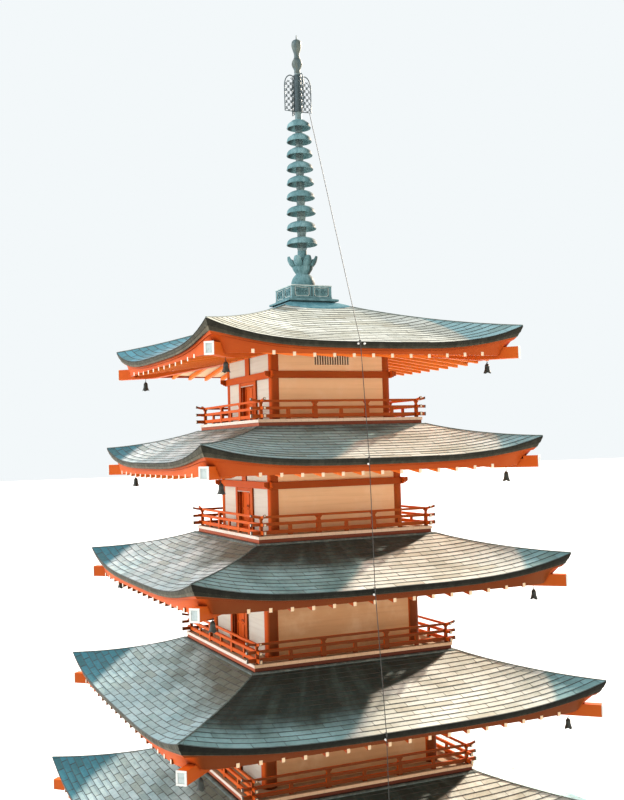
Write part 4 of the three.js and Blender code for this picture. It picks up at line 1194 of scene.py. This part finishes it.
def stud(piece, side, along, out, z, radius):
    """A domed nail head on an upright face."""
    sections = []
    for share, rise in ((1.0, -0.002), (1.0, 0.002), (0.72, 0.005), (0.3, 0.0072)):
        r = radius * share
        sections.append([on_side(side, along + r * math.cos(a), out + rise, z + r * math.sin(a))
                         for a in angles_round(12)])
    loft(piece, sections, BRONZE_DARK)


def vents():
    """Upright cream bars in the vent high on each plain wall of the top storey."""
    piece = Piece("walls_5_vent_bars", "plaster")
    high = TOP.eave_z - VENT_DROP
    heights = (high - VENT_HEIGHT, high)
    bars, backing = ([wall_half(TOP) + out for out in outs] for outs in (VENT_BARS_OUT, VENT_BACK_OUT))
    for side, start, end in (("right", VENT_LOW, VENT_HIGH), ("left", -VENT_HIGH, -VENT_LOW)):
        for centre in spread(start, end, VENT_SLOTS):
            along = (max(start, centre - VENT_BAR / 2), min(end, centre + VENT_BAR / 2))
            block(piece, side, along, bars, heights, BOARD_CREAM)
        # A near-black board behind the bars stands for the shade inside the vent: painted shade
        block(piece, side, (start, end), backing, heights, VENT_DARK)
    piece.make(bevel=0.002)


# Decks and railings


def deck(tier, number):
    """Deck boards square to each side with mitred corners, over a red edge beam."""
    piece = Piece(f"deck_{number}_boards", "deck_paint", (f"deck_{number}",))
    low, mid, high = deck_underside(tier), tier.floor - BAND_UPPER, tier.floor
    half = tier.deck_half
    inner = wall_half(tier) - DECK_REACH_IN
    beam_half, beam_low = half - BAND_SETBACK, low + BAND_LIFT
    count = round(2 * half / DECK_BOARD)
    pitch = 2 * half / count
    finishes = [DECK_EDGE if face == 3 else DECK_FLOOR for face in range(6)]
    for side in SIDES:
        for i in range(count):
            a0, a1 = -half + i * pitch + DECK_JOINT / 2, -half + (i + 1) * pitch - DECK_JOINT / 2
            start0, start1 = max(inner, abs(a0)), max(inner, abs(a1))
            if min(half - start0, half - start1) < DECK_JOINT / 2:
                start0, start1 = min(start0, half - DECK_JOINT), min(start1, half - DECK_JOINT)
            corners = [(a, o, z) for a, o0 in ((a0, start0), (a1, start1)) for o in (o0, half)
                       for z in (mid, high)]
            points = [on_side(side, a, o, max(z, mid + DECK_BED)) for a, o, z in corners]
            piece.solid(points, outward(points, BOX_FACES), [(o, a, z) for a, o, z in corners], finishes)
        beam = ((beam_half - BAND_THICKNESS, beam_low), (beam_half, beam_low),
                (beam_half, mid), (beam_half - BAND_THICKNESS, mid))
        loft(piece, [[on_side(side, share * o, o, z) for o, z in beam] for share in (-1, 1)], BAND_RED)
    floor = (-inner - 0.02, inner + 0.02)
    block(piece, "front", floor, floor, (low + 0.02, high - 0.002), DECK_FLOOR)
    piece.make(bevel=0.003)


def railing(tier, name, gap=0, keep=None):
    """Balcony rails with upturned ends and metal caps, posts with boat-shaped heads, struts and feet.
    gap is half the opening on the door sides, and keep is the sign of x of the half that is built."""
    piece = Piece(f"{name}_timbers", "vermilion", (name,))
    caps = Piece(f"{name}_caps", "bronze")
    line = tier.deck_half - RAIL_INSET
    run, half = line + RAIL_OVERRUN, RAIL_WIDTH / 2
    z = tier.floor

    def kept(side, along):
        return keep is None or on_side(side, along, line, 0).x * keep > 0

    for side in SIDES:
        opening = gap if side in DOOR_SIDES else 0
        if not opening and not kept(side, 0):
            continue
        for ends in ((-run, -opening), (opening, run)) if opening else ((-run, run),):
            if kept(side, sum(ends) / 2):
                rail_set(piece, caps, tier, side, ends, line, opening)
        inner = opening + half if opening else line / 3
        stations = [-line, -inner, inner, line]
        for i, x in enumerate(stations):
            if i and kept(side, x):
                post(piece, tier, side, x, line, half if x == line else RAIL_POST_WIDTH / 2)
            if x == line or (opening and i == 1):
                continue
            middle = (x + stations[i + 1]) / 2
            if kept(side, middle):
                for wide, deep, heights in (
                        (STRUT_HALF, STRUT_DEPTH, (z + RAIL_LOW[1], z + RAIL_MID[0])),
                        (FOOT_HALF, FOOT_DEPTH, (z, z + RAIL_LOW[0]))):
                    block(piece, side, (middle - wide, middle + wide), (line - deep, line + deep),
                          heights, VERMILION)
    piece.make(bevel=0.004)
    caps.make(bevel=0.002)


def rail_set(piece, caps, tier, side, ends, line, opening):
    """Top, middle and low rail of one run, each with a dark metal cap at its free corner ends."""
    free_ends = [(end, sign) for end, sign in zip(ends, (-1, 1)) if abs(abs(end) - opening) > 0.01]
    for low, high, curl in ((*RAIL_TOP, RAIL_CURL), (*RAIL_MID, 0.0), (*RAIL_LOW, 0.0)):
        wide = RAIL_WIDTH / 2 * (0.62 if curl else 0.8)

        def at(x, rise, grow):
            """Section of the rail, or of a cap that stands out from it, or in if grow is below 0."""
            base = tier.floor + rise
            reach = wide + grow
            return cut(side, x, (line - reach, line + reach), (base + low - grow, base + high + grow))

        stations = spread(*ends, RAIL_STEPS)
        for end, sign in free_ends:
            stations += [end - sign * d for d in RAIL_END_STEPS]
        sections = []
        for x in sorted(set(round(v, 5) for v in stations)):
            beyond = max(0.0, abs(x) - line + CURL_START) / RAIL_OVERRUN
            sections.append(at(x, curl * beyond ** 2, 0.0))
        loft(piece, sections, VERMILION)
        for end, sign in free_ends:
            root_rise, tip_rise = (curl * ((abs(end) - back - line + CURL_START) / RAIL_OVERRUN) ** 2
                                   for back in (0.035, 0.0))
            tip = end + sign * CAP_OVERLAP
            root = end - sign * CAP_LENGTH
            loft(caps, [at(root, root_rise, CAP_PROUD), at(tip, tip_rise, CAP_PROUD)], RAIL_CAP)
            loft(caps, [at(tip + sign * d, tip_rise, -CAP_RIM) for d in (-0.002, 0.002)], END_WHITE)


def post(piece, tier, side, x, line, wide):
    """A post with a waist and a boat-shaped bearing block under the top rail."""
    half = RAIL_WIDTH / 2
    block(piece, side, (x - wide, x + wide), (line - half, line + half),
          (tier.floor, tier.floor + RAIL_MID[0]), VERMILION)
    under, head = RAIL_MID[1], RAIL_TOP[0]
    levels = [
        (under, 1.0, 0.031), (under + 0.014, 0.72, 0.026), (under + 0.034, 0.66, 0.024),
        (head - 0.03, 0.9, 0.028), (head - 0.012, 1.3, 0.031), (head, 1.35, 0.031),
    ]
    sections = [[on_side(side, x + i * share * wide, line + j * deep, tier.floor + h) for i, j in SQUARE]
                for h, share, deep in levels]
    loft(piece, sections, VERMILION)


# Stone base and steps


def stone_base():
    """Two courses of blocks under a cap of long slabs, all with tight open joints."""
    piece = Piece("podium_stones", "stone", ("podium",))
    core = (0.35 - PODIUM_HALF, PODIUM_HALF - 0.35)
    block(piece, "front", core, core, (0, PODIUM_TOP - 0.02), GRANITE)
    levels = spread(0, PODIUM_TOP - PODIUM_CAP, PODIUM_COURSES)
    for side in SIDES:
        for course, z in enumerate(zip(levels, levels[1:])):
            stone_row(piece, side, PODIUM_HALF, STONE_THICKNESS, z, 8 - course % 2)
        cap = (levels[-1], PODIUM_TOP)
        stone_row(piece, side, PODIUM_HALF + PODIUM_CAP_REACH, CAP_STONE_THICKNESS, cap, 6)
    piece.make(bevel=0.008)


def stone_row(piece, side, half, thick, z, count):
    """A row of mitred stones along one side."""
    bottom, top = z[0] + STONE_JOINT / 2, z[1] - STONE_JOINT / 2
    back = half - thick - STONE_JOINT
    joints = spread(-half, half, count)
    faces = [(0, 2, 3, 1), (2, 4, 5, 3), (4, 6, 7, 5), (6, 0, 1, 7), (0, 6, 4, 2), (1, 3, 5, 7)]
    for start, end in zip(joints, joints[1:]):
        a0, a1 = start + STONE_JOINT, end - STONE_JOINT
        b0, b1 = max(a0, -back), min(a1, back)
        proud = DICE.uniform(-0.004, 0.0)
        if start == joints[0]:
            a0 = -half + 0.0005
        if end == joints[-1]:
            a1 = half - 0.0005
        plan = ((a0, half + proud), (a1, half + proud), (b1, half - thick), (b0, half - thick))
        points = [on_side(side, a, o, h) for a, o in plan for h in (bottom, top)]
        piece.solid(points, outward(points, faces), points, GRANITE)


def stone_steps(side):
    """Treads across the full width, each of two long stones, one tread on the next."""
    piece = Piece(f"steps_{side}_stones", "stone", (f"steps_{side}",))
    back = PODIUM_HALF + FACE_GAP
    for tread in range(1, STEP_COUNT + 1):
        out = back + STEP_GOING * (STEP_COUNT + 1 - tread)
        start = back if tread == STEP_COUNT else out - STEP_GOING - 0.02
        for along in ((-STEP_HALF_WIDTH, -0.02), (-0.014, STEP_HALF_WIDTH)):
            block(piece, side, along, (start, out), (STEP_RISE * (tread - 1), STEP_RISE * tread), GRANITE)
    piece.make(bevel=0.01)


# Bronze spire, whose profiles are (out from the axis, z)

BOX_LOW, BOX_HIGH, BOX_HALF, BOX_SUNK = 13.70, 13.98, 0.455, 0.015
BOX_RAIL = 0.045
PANEL_CENTRE, PANEL_WIDE, PANEL_CORNER = 0.2215, 0.158, 0.05
MAST_LOW, MAST_RADIUS, MAST_TAPER = 14.78, 0.099, 0.026 / 2.96
RING_RIMS = [
    (0.334, 14.908), (0.322, 15.253), (0.316, 15.587), (0.308, 15.921), (0.296, 16.234),
    (0.290, 16.548), (0.284, 16.854), (0.273, 17.156), (0.263, 17.458),
]
FIN_LOW, FIN_SHOULDER, FIN_TOP, FIN_REACH = 17.82, 18.38, 18.63, 0.32
FIN_BAR = 0.012
SCROLL_PITCH = 0.066
SCROLL_COLUMNS = (0.13, 0.188, 0.246, 0.288)


def spire_box():
    """Flanged base plate, and a box with two sunk panels of scrolls a side in pale rounded frames."""
    piece = Piece("spire_box_castings", "bronze", ("spire_box",))
    low, high, half = BOX_LOW, BOX_HIGH, BOX_HALF
    inner = half - 0.05
    plate = [(0.3, 13.57), (0.5, 13.57), (0.5, 13.63), (0.565, 13.63), (0.57, 13.635), (0.57, 13.668),
             (0.564, 13.674), (0.47, low), (0.3, low)]
    bottom_rail = [(inner, low - 0.004), (half + 0.008, low - 0.004), (half + 0.008, low + 0.024),
                   (half, low + 0.034), (half, low + BOX_RAIL), (inner, low + BOX_RAIL)]
    top_rail = [(inner, high - BOX_RAIL), (half, high - BOX_RAIL), (half, high - 0.032),
                (half + 0.01, high - 0.022), (half + 0.01, high), (inner, high)]
    pale_lip = [BRONZE, BRONZE, BRONZE, BRONZE_EDGE, BRONZE_EDGE, BRONZE]
    for profile, finish in ((plate, BRONZE), (bottom_rail, BRONZE), (top_rail, pale_lip)):
        loft(piece, ring_of(lambda share: profile), finish, closed=True)
    core = (BOX_SUNK - half, half - BOX_SUNK)
    block(piece, "front", core, core, (low, high - 0.002), BRONZE)
    heights = (low + 0.04, high - 0.04)
    for side in SIDES:
        for along, out, finish in (
                ((-half, -0.396), (half - 0.059, half), BRONZE),
                ((0.396, half - 0.059), (half - 0.03, half), BRONZE),
                ((-0.047, -0.012), (half - 0.03, half), BRONZE),
                ((0.012, 0.047), (half - 0.03, half), BRONZE),
                ((-0.012, 0.012), (half - 0.03, half - 0.01), BRONZE_DARK)):
            block(piece, side, along, out, heights, finish)
        for centre in (-PANEL_CENTRE, PANEL_CENTRE):
            panel_frame(piece, side, centre, low + BOX_RAIL, high - BOX_RAIL)
            scroll(piece, side, centre, (low + high) / 2, half - BOX_SUNK)
    piece.make(bevel=0.003)


def panel_frame(piece, side, centre, low, high):
    """A pale moulding round one panel, with rounded lower corners and a cusp in the middle of its head."""

    def corner(sign, start):
        turns = [math.radians(start + 18 * step) for step in range(6)]
        return [(centre + sign * (PANEL_WIDE - PANEL_CORNER) + PANEL_CORNER * math.cos(a),
                 low + PANEL_CORNER + PANEL_CORNER * math.sin(a)) for a in turns]

    head = [(centre + share * PANEL_WIDE, high - 0.012 + 0.012 * abs(share) ** 0.5)
            for share in (1, 0.6, 0.25, 0, -0.25, -0.6, -1)]
    outline = [on_side(side, a, BOX_HALF - 0.006, z) for a, z in corner(1, -90) + head + corner(-1, 180)]
    tube(piece, outline, 0.009, BRONZE_EDGE, 8, closed=True)


def scroll(piece, side, centre, z, out):
    """A generic foliage relief: two mirrored spirals on a stem, and four leaves."""
    for sign in (-1, 1):
        path = []
        for share in spread(0, 1, 21):
            turn = share * 2.6 * math.pi
            r = 0.062 * (1 - 0.72 * share)
            along = centre + sign * (0.062 + 0.95 * r * math.cos(turn))
            path.append(on_side(side, along, out + 0.004, z + r * math.sin(turn)))
        tube(piece, path, spread(0.012, 0.006, 21), BRONZE, 8)
        for tilt in (0.9, -0.9):
            leaf = []
            for share in (0, 0.3, 0.6, 0.85, 1):
                along = centre + sign * (0.02 + 0.13 * share * math.cos(tilt))
                leaf.append(on_side(side, along, out + 0.003, z + 0.0715 * share * math.sin(tilt)))
            tube(piece, leaf, [0.006, 0.014, 0.015, 0.010, 0.003], BRONZE, 8)


def spire_bowl():
    """Inverted bowl with a thin lip."""
    piece = Piece("spire_bowl_casting", "bronze", ("spire_bowl",))
    turned(piece, [
        (0.262, 13.98), (0.272, 13.982), (0.275, 13.99), (0.270, 13.998), (0.264, 14.002), (0.264, 14.03),
        (0.261, 14.06), (0.254, 14.1), (0.242, 14.14), (0.226, 14.18), (0.205, 14.215), (0.182, 14.242),
        (0.165, 14.255), (0.163, 14.264),
    ], BRONZE, sides=64)
    piece.make(smooth_angle=50)


def spire_lotus():
    """Squat ribbed bulb between a rank of short petals and a rank of wide ones with thick curled tips."""
    piece = Piece("spire_lotus_casting", "bronze", ("spire_lotus",))

    def ribs(angle, z):
        share = max(0.0, min(1.0, (z - 14.30) / 0.06, (14.62 - z) / 0.06))
        return 1 + 0.035 * share * abs(math.cos(8 * angle)) - 0.02 * share, 0.0

    turned(piece, [
        (0.15, 14.264), (0.152, 14.288), (0.165, 14.31), (0.192, 14.35), (0.21, 14.385), (0.219, 14.42),
        (0.219, 14.47), (0.214, 14.52), (0.204, 14.56), (0.187, 14.59), (0.155, 14.61), (0.124, 14.622),
        (0.112, 14.64), (0.104, 14.68), (0.1, 14.78),
    ], BRONZE, sides=96, ripple=ribs)
    wide_petal = [
        (0.20, 14.425, 0.05), (0.25, 14.452, 0.085), (0.295, 14.50, 0.098), (0.325, 14.56, 0.088),
        (0.345, 14.615, 0.062), (0.343, 14.642, 0.045), (0.322, 14.650, 0.02),
    ]
    short_petal = [
        (0.205, 14.47, 0.06), (0.22, 14.52, 0.068), (0.225, 14.565, 0.06), (0.237, 14.595, 0.042),
        (0.256, 14.606, 0.016),
    ]
    for shift, spine in ((0.0, wide_petal), (0.5, short_petal)):
        for i in range(8):
            petal(piece, (i + shift) * math.pi / 4, spine)
    piece.make(smooth_angle=55)


def petal(piece, angle, spine):
    """One cupped petal with a midrib, along a spine of (radius, z, half width)."""
    out = Vector((math.cos(angle), math.sin(angle), 0))
    across = Vector((-math.sin(angle), math.cos(angle), 0))
    sections = []
    for radius, z, wide in spine:
        middle = radius * out + Vector((0, 0, z))
        upper = [(u, -0.005 if u == 0 else 0.0) for u in (-1, -0.6, -0.2, 0, 0.2, 0.6, 1)]
        lower = [(u, 0.014) for u in (1, 0.4, -0.4, -1)]
        sections.append([middle + u * wide * across - (0.35 * wide * u * u + back) * out
                         for u, back in upper + lower])
    loft(piece, sections, BRONZE)


def spire_rings():
    """Nine dished rings, hollow underneath, on a banded mast."""
    piece = Piece("spire_rings_castings", "bronze", ("spire_rings",))
    mast = [(MAST_RADIUS, MAST_LOW)]
    for _, z in RING_RIMS:
        shaft = MAST_RADIUS - MAST_TAPER * (z - MAST_LOW)
        band = shaft + 0.006
        mast += [(shaft, z - 0.09), (band, z - 0.084), (band, z - 0.064), (shaft, z - 0.058),
                 (shaft, z + 0.1)]
    mast += [(0.073, 17.74), (0.064, 18.66)]
    turned(piece, mast, BRONZE_SHAFT, sides=32)
    for rim, z in RING_RIMS:
        top = z + 0.165
        dish = [
            (0.05, top - 0.045), (0.14, top - 0.045), (rim - 0.1, z + 0.095), (rim - 0.06, z + 0.06),
            (rim - 0.036, z + 0.02), (rim - 0.02, z + 0.001), (rim - 0.004, z + 0.002), (rim, z + 0.008),
            (rim - 0.004, z + 0.015), (rim - 0.010, z + 0.024), (rim - 0.011, z + 0.05),
            (rim - 0.018, z + 0.075), (rim - 0.03, z + 0.095), (rim - 0.055, z + 0.118),
            (rim - 0.09, z + 0.138), (0.5 * (rim + 0.06), z + 0.152), (0.15, top), (0.1, top + 0.004),
            (0.05, top + 0.004),
        ]
        ring = [[Vector((r * math.cos(a), r * math.sin(a), h)) for r, h in dish] for a in angles_round(56)]
        loft(piece, ring, BRONZE, closed=True)
    piece.make(smooth_angle=50)


def spire_fins():
    """Four openwork fins, each a bordered leaf that curls in at the top, filled with linked scrolls."""
    piece = Piece("spire_fins_castings", "bronze", ("spire_fins",))
    turned(piece, [(0.093, FIN_LOW), (0.095, FIN_LOW + 0.03), (0.087, FIN_LOW + 0.034),
                   (0.082, FIN_TOP - 0.034), (0.09, FIN_TOP - 0.03), (0.088, FIN_TOP)], BRONZE_FIN, sides=32)
    low, high, edge = FIN_LOW + FIN_BAR, FIN_TOP - FIN_BAR, FIN_REACH - FIN_BAR
    outline = [(0.085, low), (edge, low), (edge, FIN_SHOULDER)]
    for a in spread(0, math.radians(115), 11)[1:]:
        out = 0.165 + (edge - 0.165) * math.cos(a)
        outline.append((out, FIN_SHOULDER + (high - FIN_SHOULDER) * math.sin(a)))
    outline += [(0.105, FIN_TOP - 0.075), (0.125, FIN_TOP - 0.095)]
    for side in SIDES:
        tube(piece, [on_side(side, 0, *point) for point in outline], FIN_BAR, BRONZE_FIN, 8)
        inner = [on_side(side, 0, 0.096, z) for z in (low, FIN_TOP - 0.12)]
        tube(piece, inner, 0.007, BRONZE_FIN, 6)
        for row in range(11):
            z = FIN_LOW + 0.05 + row * SCROLL_PITCH
            for column, out in enumerate(SCROLL_COLUMNS):
                arch = FIN_SHOULDER - 0.03 + 0.19 * math.sqrt(max(0.0, 1 - ((out - 0.12) / 0.19) ** 2))
                if z > arch or (column == 3 and row % 2):
                    continue
                curl(piece, side, out, z, 1 if (row + column) % 2 else -1)
    piece.make(smooth_angle=50)


def curl(piece, side, out, z, way):
    """One S-shaped scroll of the openwork."""
    path = [on_side(side, 0, out + way * 0.028 * math.sin(2 * math.pi * t), z - 0.036 + 0.072 * t)
            for t in spread(0, 1, 12)]
    tube(piece, path, 0.0068, BRONZE_FIN, 6)


def spire_jewel():
    """Two jewels, one above the other, and the point."""
    piece = Piece("spire_jewel_castings", "bronze", ("spire_jewel",))
    turned(piece, [
        (0.064, 18.66), (0.062, 18.69), (0.068, 18.70), (0.068, 18.715), (0.061, 18.73), (0.078, 18.77),
        (0.1, 18.82), (0.114, 18.86), (0.116, 18.885), (0.109, 18.925), (0.092, 18.965), (0.066, 18.988),
        (0.07, 18.996), (0.07, 19.012), (0.06, 19.02), (0.06, 19.10), (0.068, 19.13), (0.086, 19.18),
        (0.1, 19.23), (0.109, 19.27), (0.111, 19.3), (0.108, 19.34), (0.1, 19.37), (0.078, 19.396),
        (0.045, 19.413), (0.02, 19.42), (0.014, 19.44), (0.01, 19.515),
    ], BRONZE_JEWEL, sides=40)
    rib = ((0.062, 18.76), (0.098, 18.82), (0.113, 18.87), (0.096, 18.93), (0.066, 18.975))
    for a in angles_round(8):
        path = [(r * math.cos(a), r * math.sin(a), z) for r, z in rib]
        tube(piece, path, [0.004, 0.007, 0.008, 0.007, 0.004], BRONZE_JEWEL, 6)
    piece.make(smooth_angle=50)


# Lightning conductor


def conductor():
    """Taut wire from the fins past each eave to the ground, on clips, with porcelain knobs at each eave."""
    piece = Piece("lightning_conductor_wire", "wire", ("lightning_conductor",))
    stops = [WIRE_HEAD]
    for tier, y in reversed(list(zip(STOREYS, WIRE_AT_EAVES))):
        x, z = tier.eave_half + WIRE_STANDOFF, tier.eave_z
        stops.append((x, y, z))
        for h in (z - CLAMP_SPACING, z + CLAMP_SPACING):
            tube(piece, [(tier.eave_half - 0.01, y, h), (x + 0.004, y, h)], 0.006, WIRE_STEEL, 8)
        tube(piece, [(x, y, z - CLAMP_HALF), (x, y, z + CLAMP_HALF)], 0.013, WIRE_STEEL, 12)
        for aside in (-0.02, 0.105) if tier is TOP else (0.0,):
            share = abs(y + aside) / tier.eave_half
            drop = 0.03 if tier is TOP else fascia_height(share) - 0.012
            insulator(piece, tier.eave_half - 0.016, y + aside, roof_z(tier, tier.eave_half, share) - drop)
    stops.append((*stops[-1][:2], 0.0))
    for start, end in zip(stops, stops[1:]):
        middle = Vector(start).lerp(Vector(end), 0.5)
        tube(piece, [start, middle, end], WIRE_RADIUS, WIRE_STEEL)
    piece.make(smooth_angle=50)


def insulator(piece, x, y, z):
    """A small grooved porcelain knob that stands out from the roof's edge."""
    profile = ((0.010, 0.0), (0.018, 0.004), (0.020, 0.012), (0.012, 0.018),
               (0.012, 0.024), (0.020, 0.03), (0.018, 0.038), (0.006, 0.042))
    sections = [[Vector((x + out, y + r * math.cos(a), z + r * math.sin(a))) for a in angles_round(14)]
                for r, out in profile]
    loft(piece, sections, PORCELAIN)


# Assembly


def finish_walls():
    for number in range(1, len(STOREYS) + 1):
        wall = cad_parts[f"walls_{number}"]
        wall.data.materials.clear()
        wall.data.materials.append(PLASTER)


def build():
    finish_walls()
    for number, tier in enumerate(STOREYS, start=1):
        for section_of_storey in (roof_base, copper_sheets, hip_seam, edge_boards, rafters, soffit,
                                  hip_rafters, wind_bells, timber_frame):
            section_of_storey(tier, number)
        for side in DOOR_SIDES:
            door(tier, number, side)
        deck(tier, number)
        if number == 1:
            railing(tier, "railing_1_right", GROUND_RAIL_GAP, 1)
            railing(tier, "railing_1_left", GROUND_RAIL_GAP, -1)
        else:
            railing(tier, f"railing_{number}")
    vents()
    stone_base()
    for side in DOOR_SIDES:
        stone_steps(side)
    for section_of_spire in (spire_box, spire_bowl, spire_lotus, spire_rings, spire_fins, spire_jewel):
        section_of_spire()
    conductor()


def in_scene(name, data):
    thing = bpy.data.objects.new(name, data)
    bpy.context.scene.collection.objects.link(thing)
    return thing


def stage():
    """Plain pale floor, soft sky, a low warm light, and two wide soft fills from the sides that show."""
    floor_mesh = bpy.data.meshes.new("floor")
    reach = 400
    floor_mesh.from_pydata([(reach * x, reach * y, 0) for x, y in SQUARE], [], [(0, 1, 2, 3)])
    floor_paint, _, floor_shader = new_material("pale_floor", Roughness=0.9)
    floor_shader.inputs["Base Color"].default_value = linear("#E2E2E4")
    floor_mesh.materials.append(floor_paint)
    in_scene("floor", floor_mesh)

    world = bpy.data.worlds.new("soft_sky")
    world.use_nodes = True
    sky = world.node_tree.nodes["Background"]
    sky.inputs["Color"].default_value = linear("#F3F8FA")
    sky.inputs["Strength"].default_value = 1.0
    bpy.context.scene.world = world

    lamps = [
        ("low_warm_light", 11.0, 2, "#FFF0DC", (0.446, -0.810, -0.379)),
        ("cool_fill_on_the_door_side", 2.9, 55, "#F3F6FC", (0.25, 0.85, -0.42)),
        ("warm_fill_on_the_plain_side", 0.5, 55, "#FFE0C0", (-0.98, 0.1, -0.12)),
    ]
    for name, energy, angle, colour, travel in lamps:
        light = bpy.data.lights.new(name, "SUN")
        light.energy = energy
        light.angle = math.radians(angle)
        light.color = linear(colour)[:3]
        in_scene(name, light).rotation_euler = Vector(travel).to_track_quat("-Z", "Y").to_euler()


def camera():
    """Camera at the photograph's place, from the fit to the roofs, decks and spire."""
    yaw, pitch, roll = (math.radians(a) for a in (65.98, 2.55, 1.60))
    focal, long_side, sensor = 1033.7, 800, 36.0
    forward = Vector((-math.sin(yaw) * math.cos(pitch), math.cos(yaw) * math.cos(pitch), math.sin(pitch)))
    level = Vector((math.cos(yaw), math.sin(yaw), 0))
    right = math.cos(roll) * level + math.sin(roll) * forward.cross(level)
    down = forward.cross(right)
    lens = bpy.data.cameras.new("camera")
    lens.sensor_width = sensor
    lens.lens = sensor * focal / long_side
    lens.clip_end = 1000
    view = in_scene("camera", lens)
    turn = Matrix((right, -down, -forward)).transposed()
    view.matrix_world = Matrix.Translation((20.257, -8.893, 10.582)) @ turn.to_4x4()
    bpy.context.scene.camera = view
    bpy.context.scene.view_settings.view_transform = "Standard"


build()
stage()
camera()
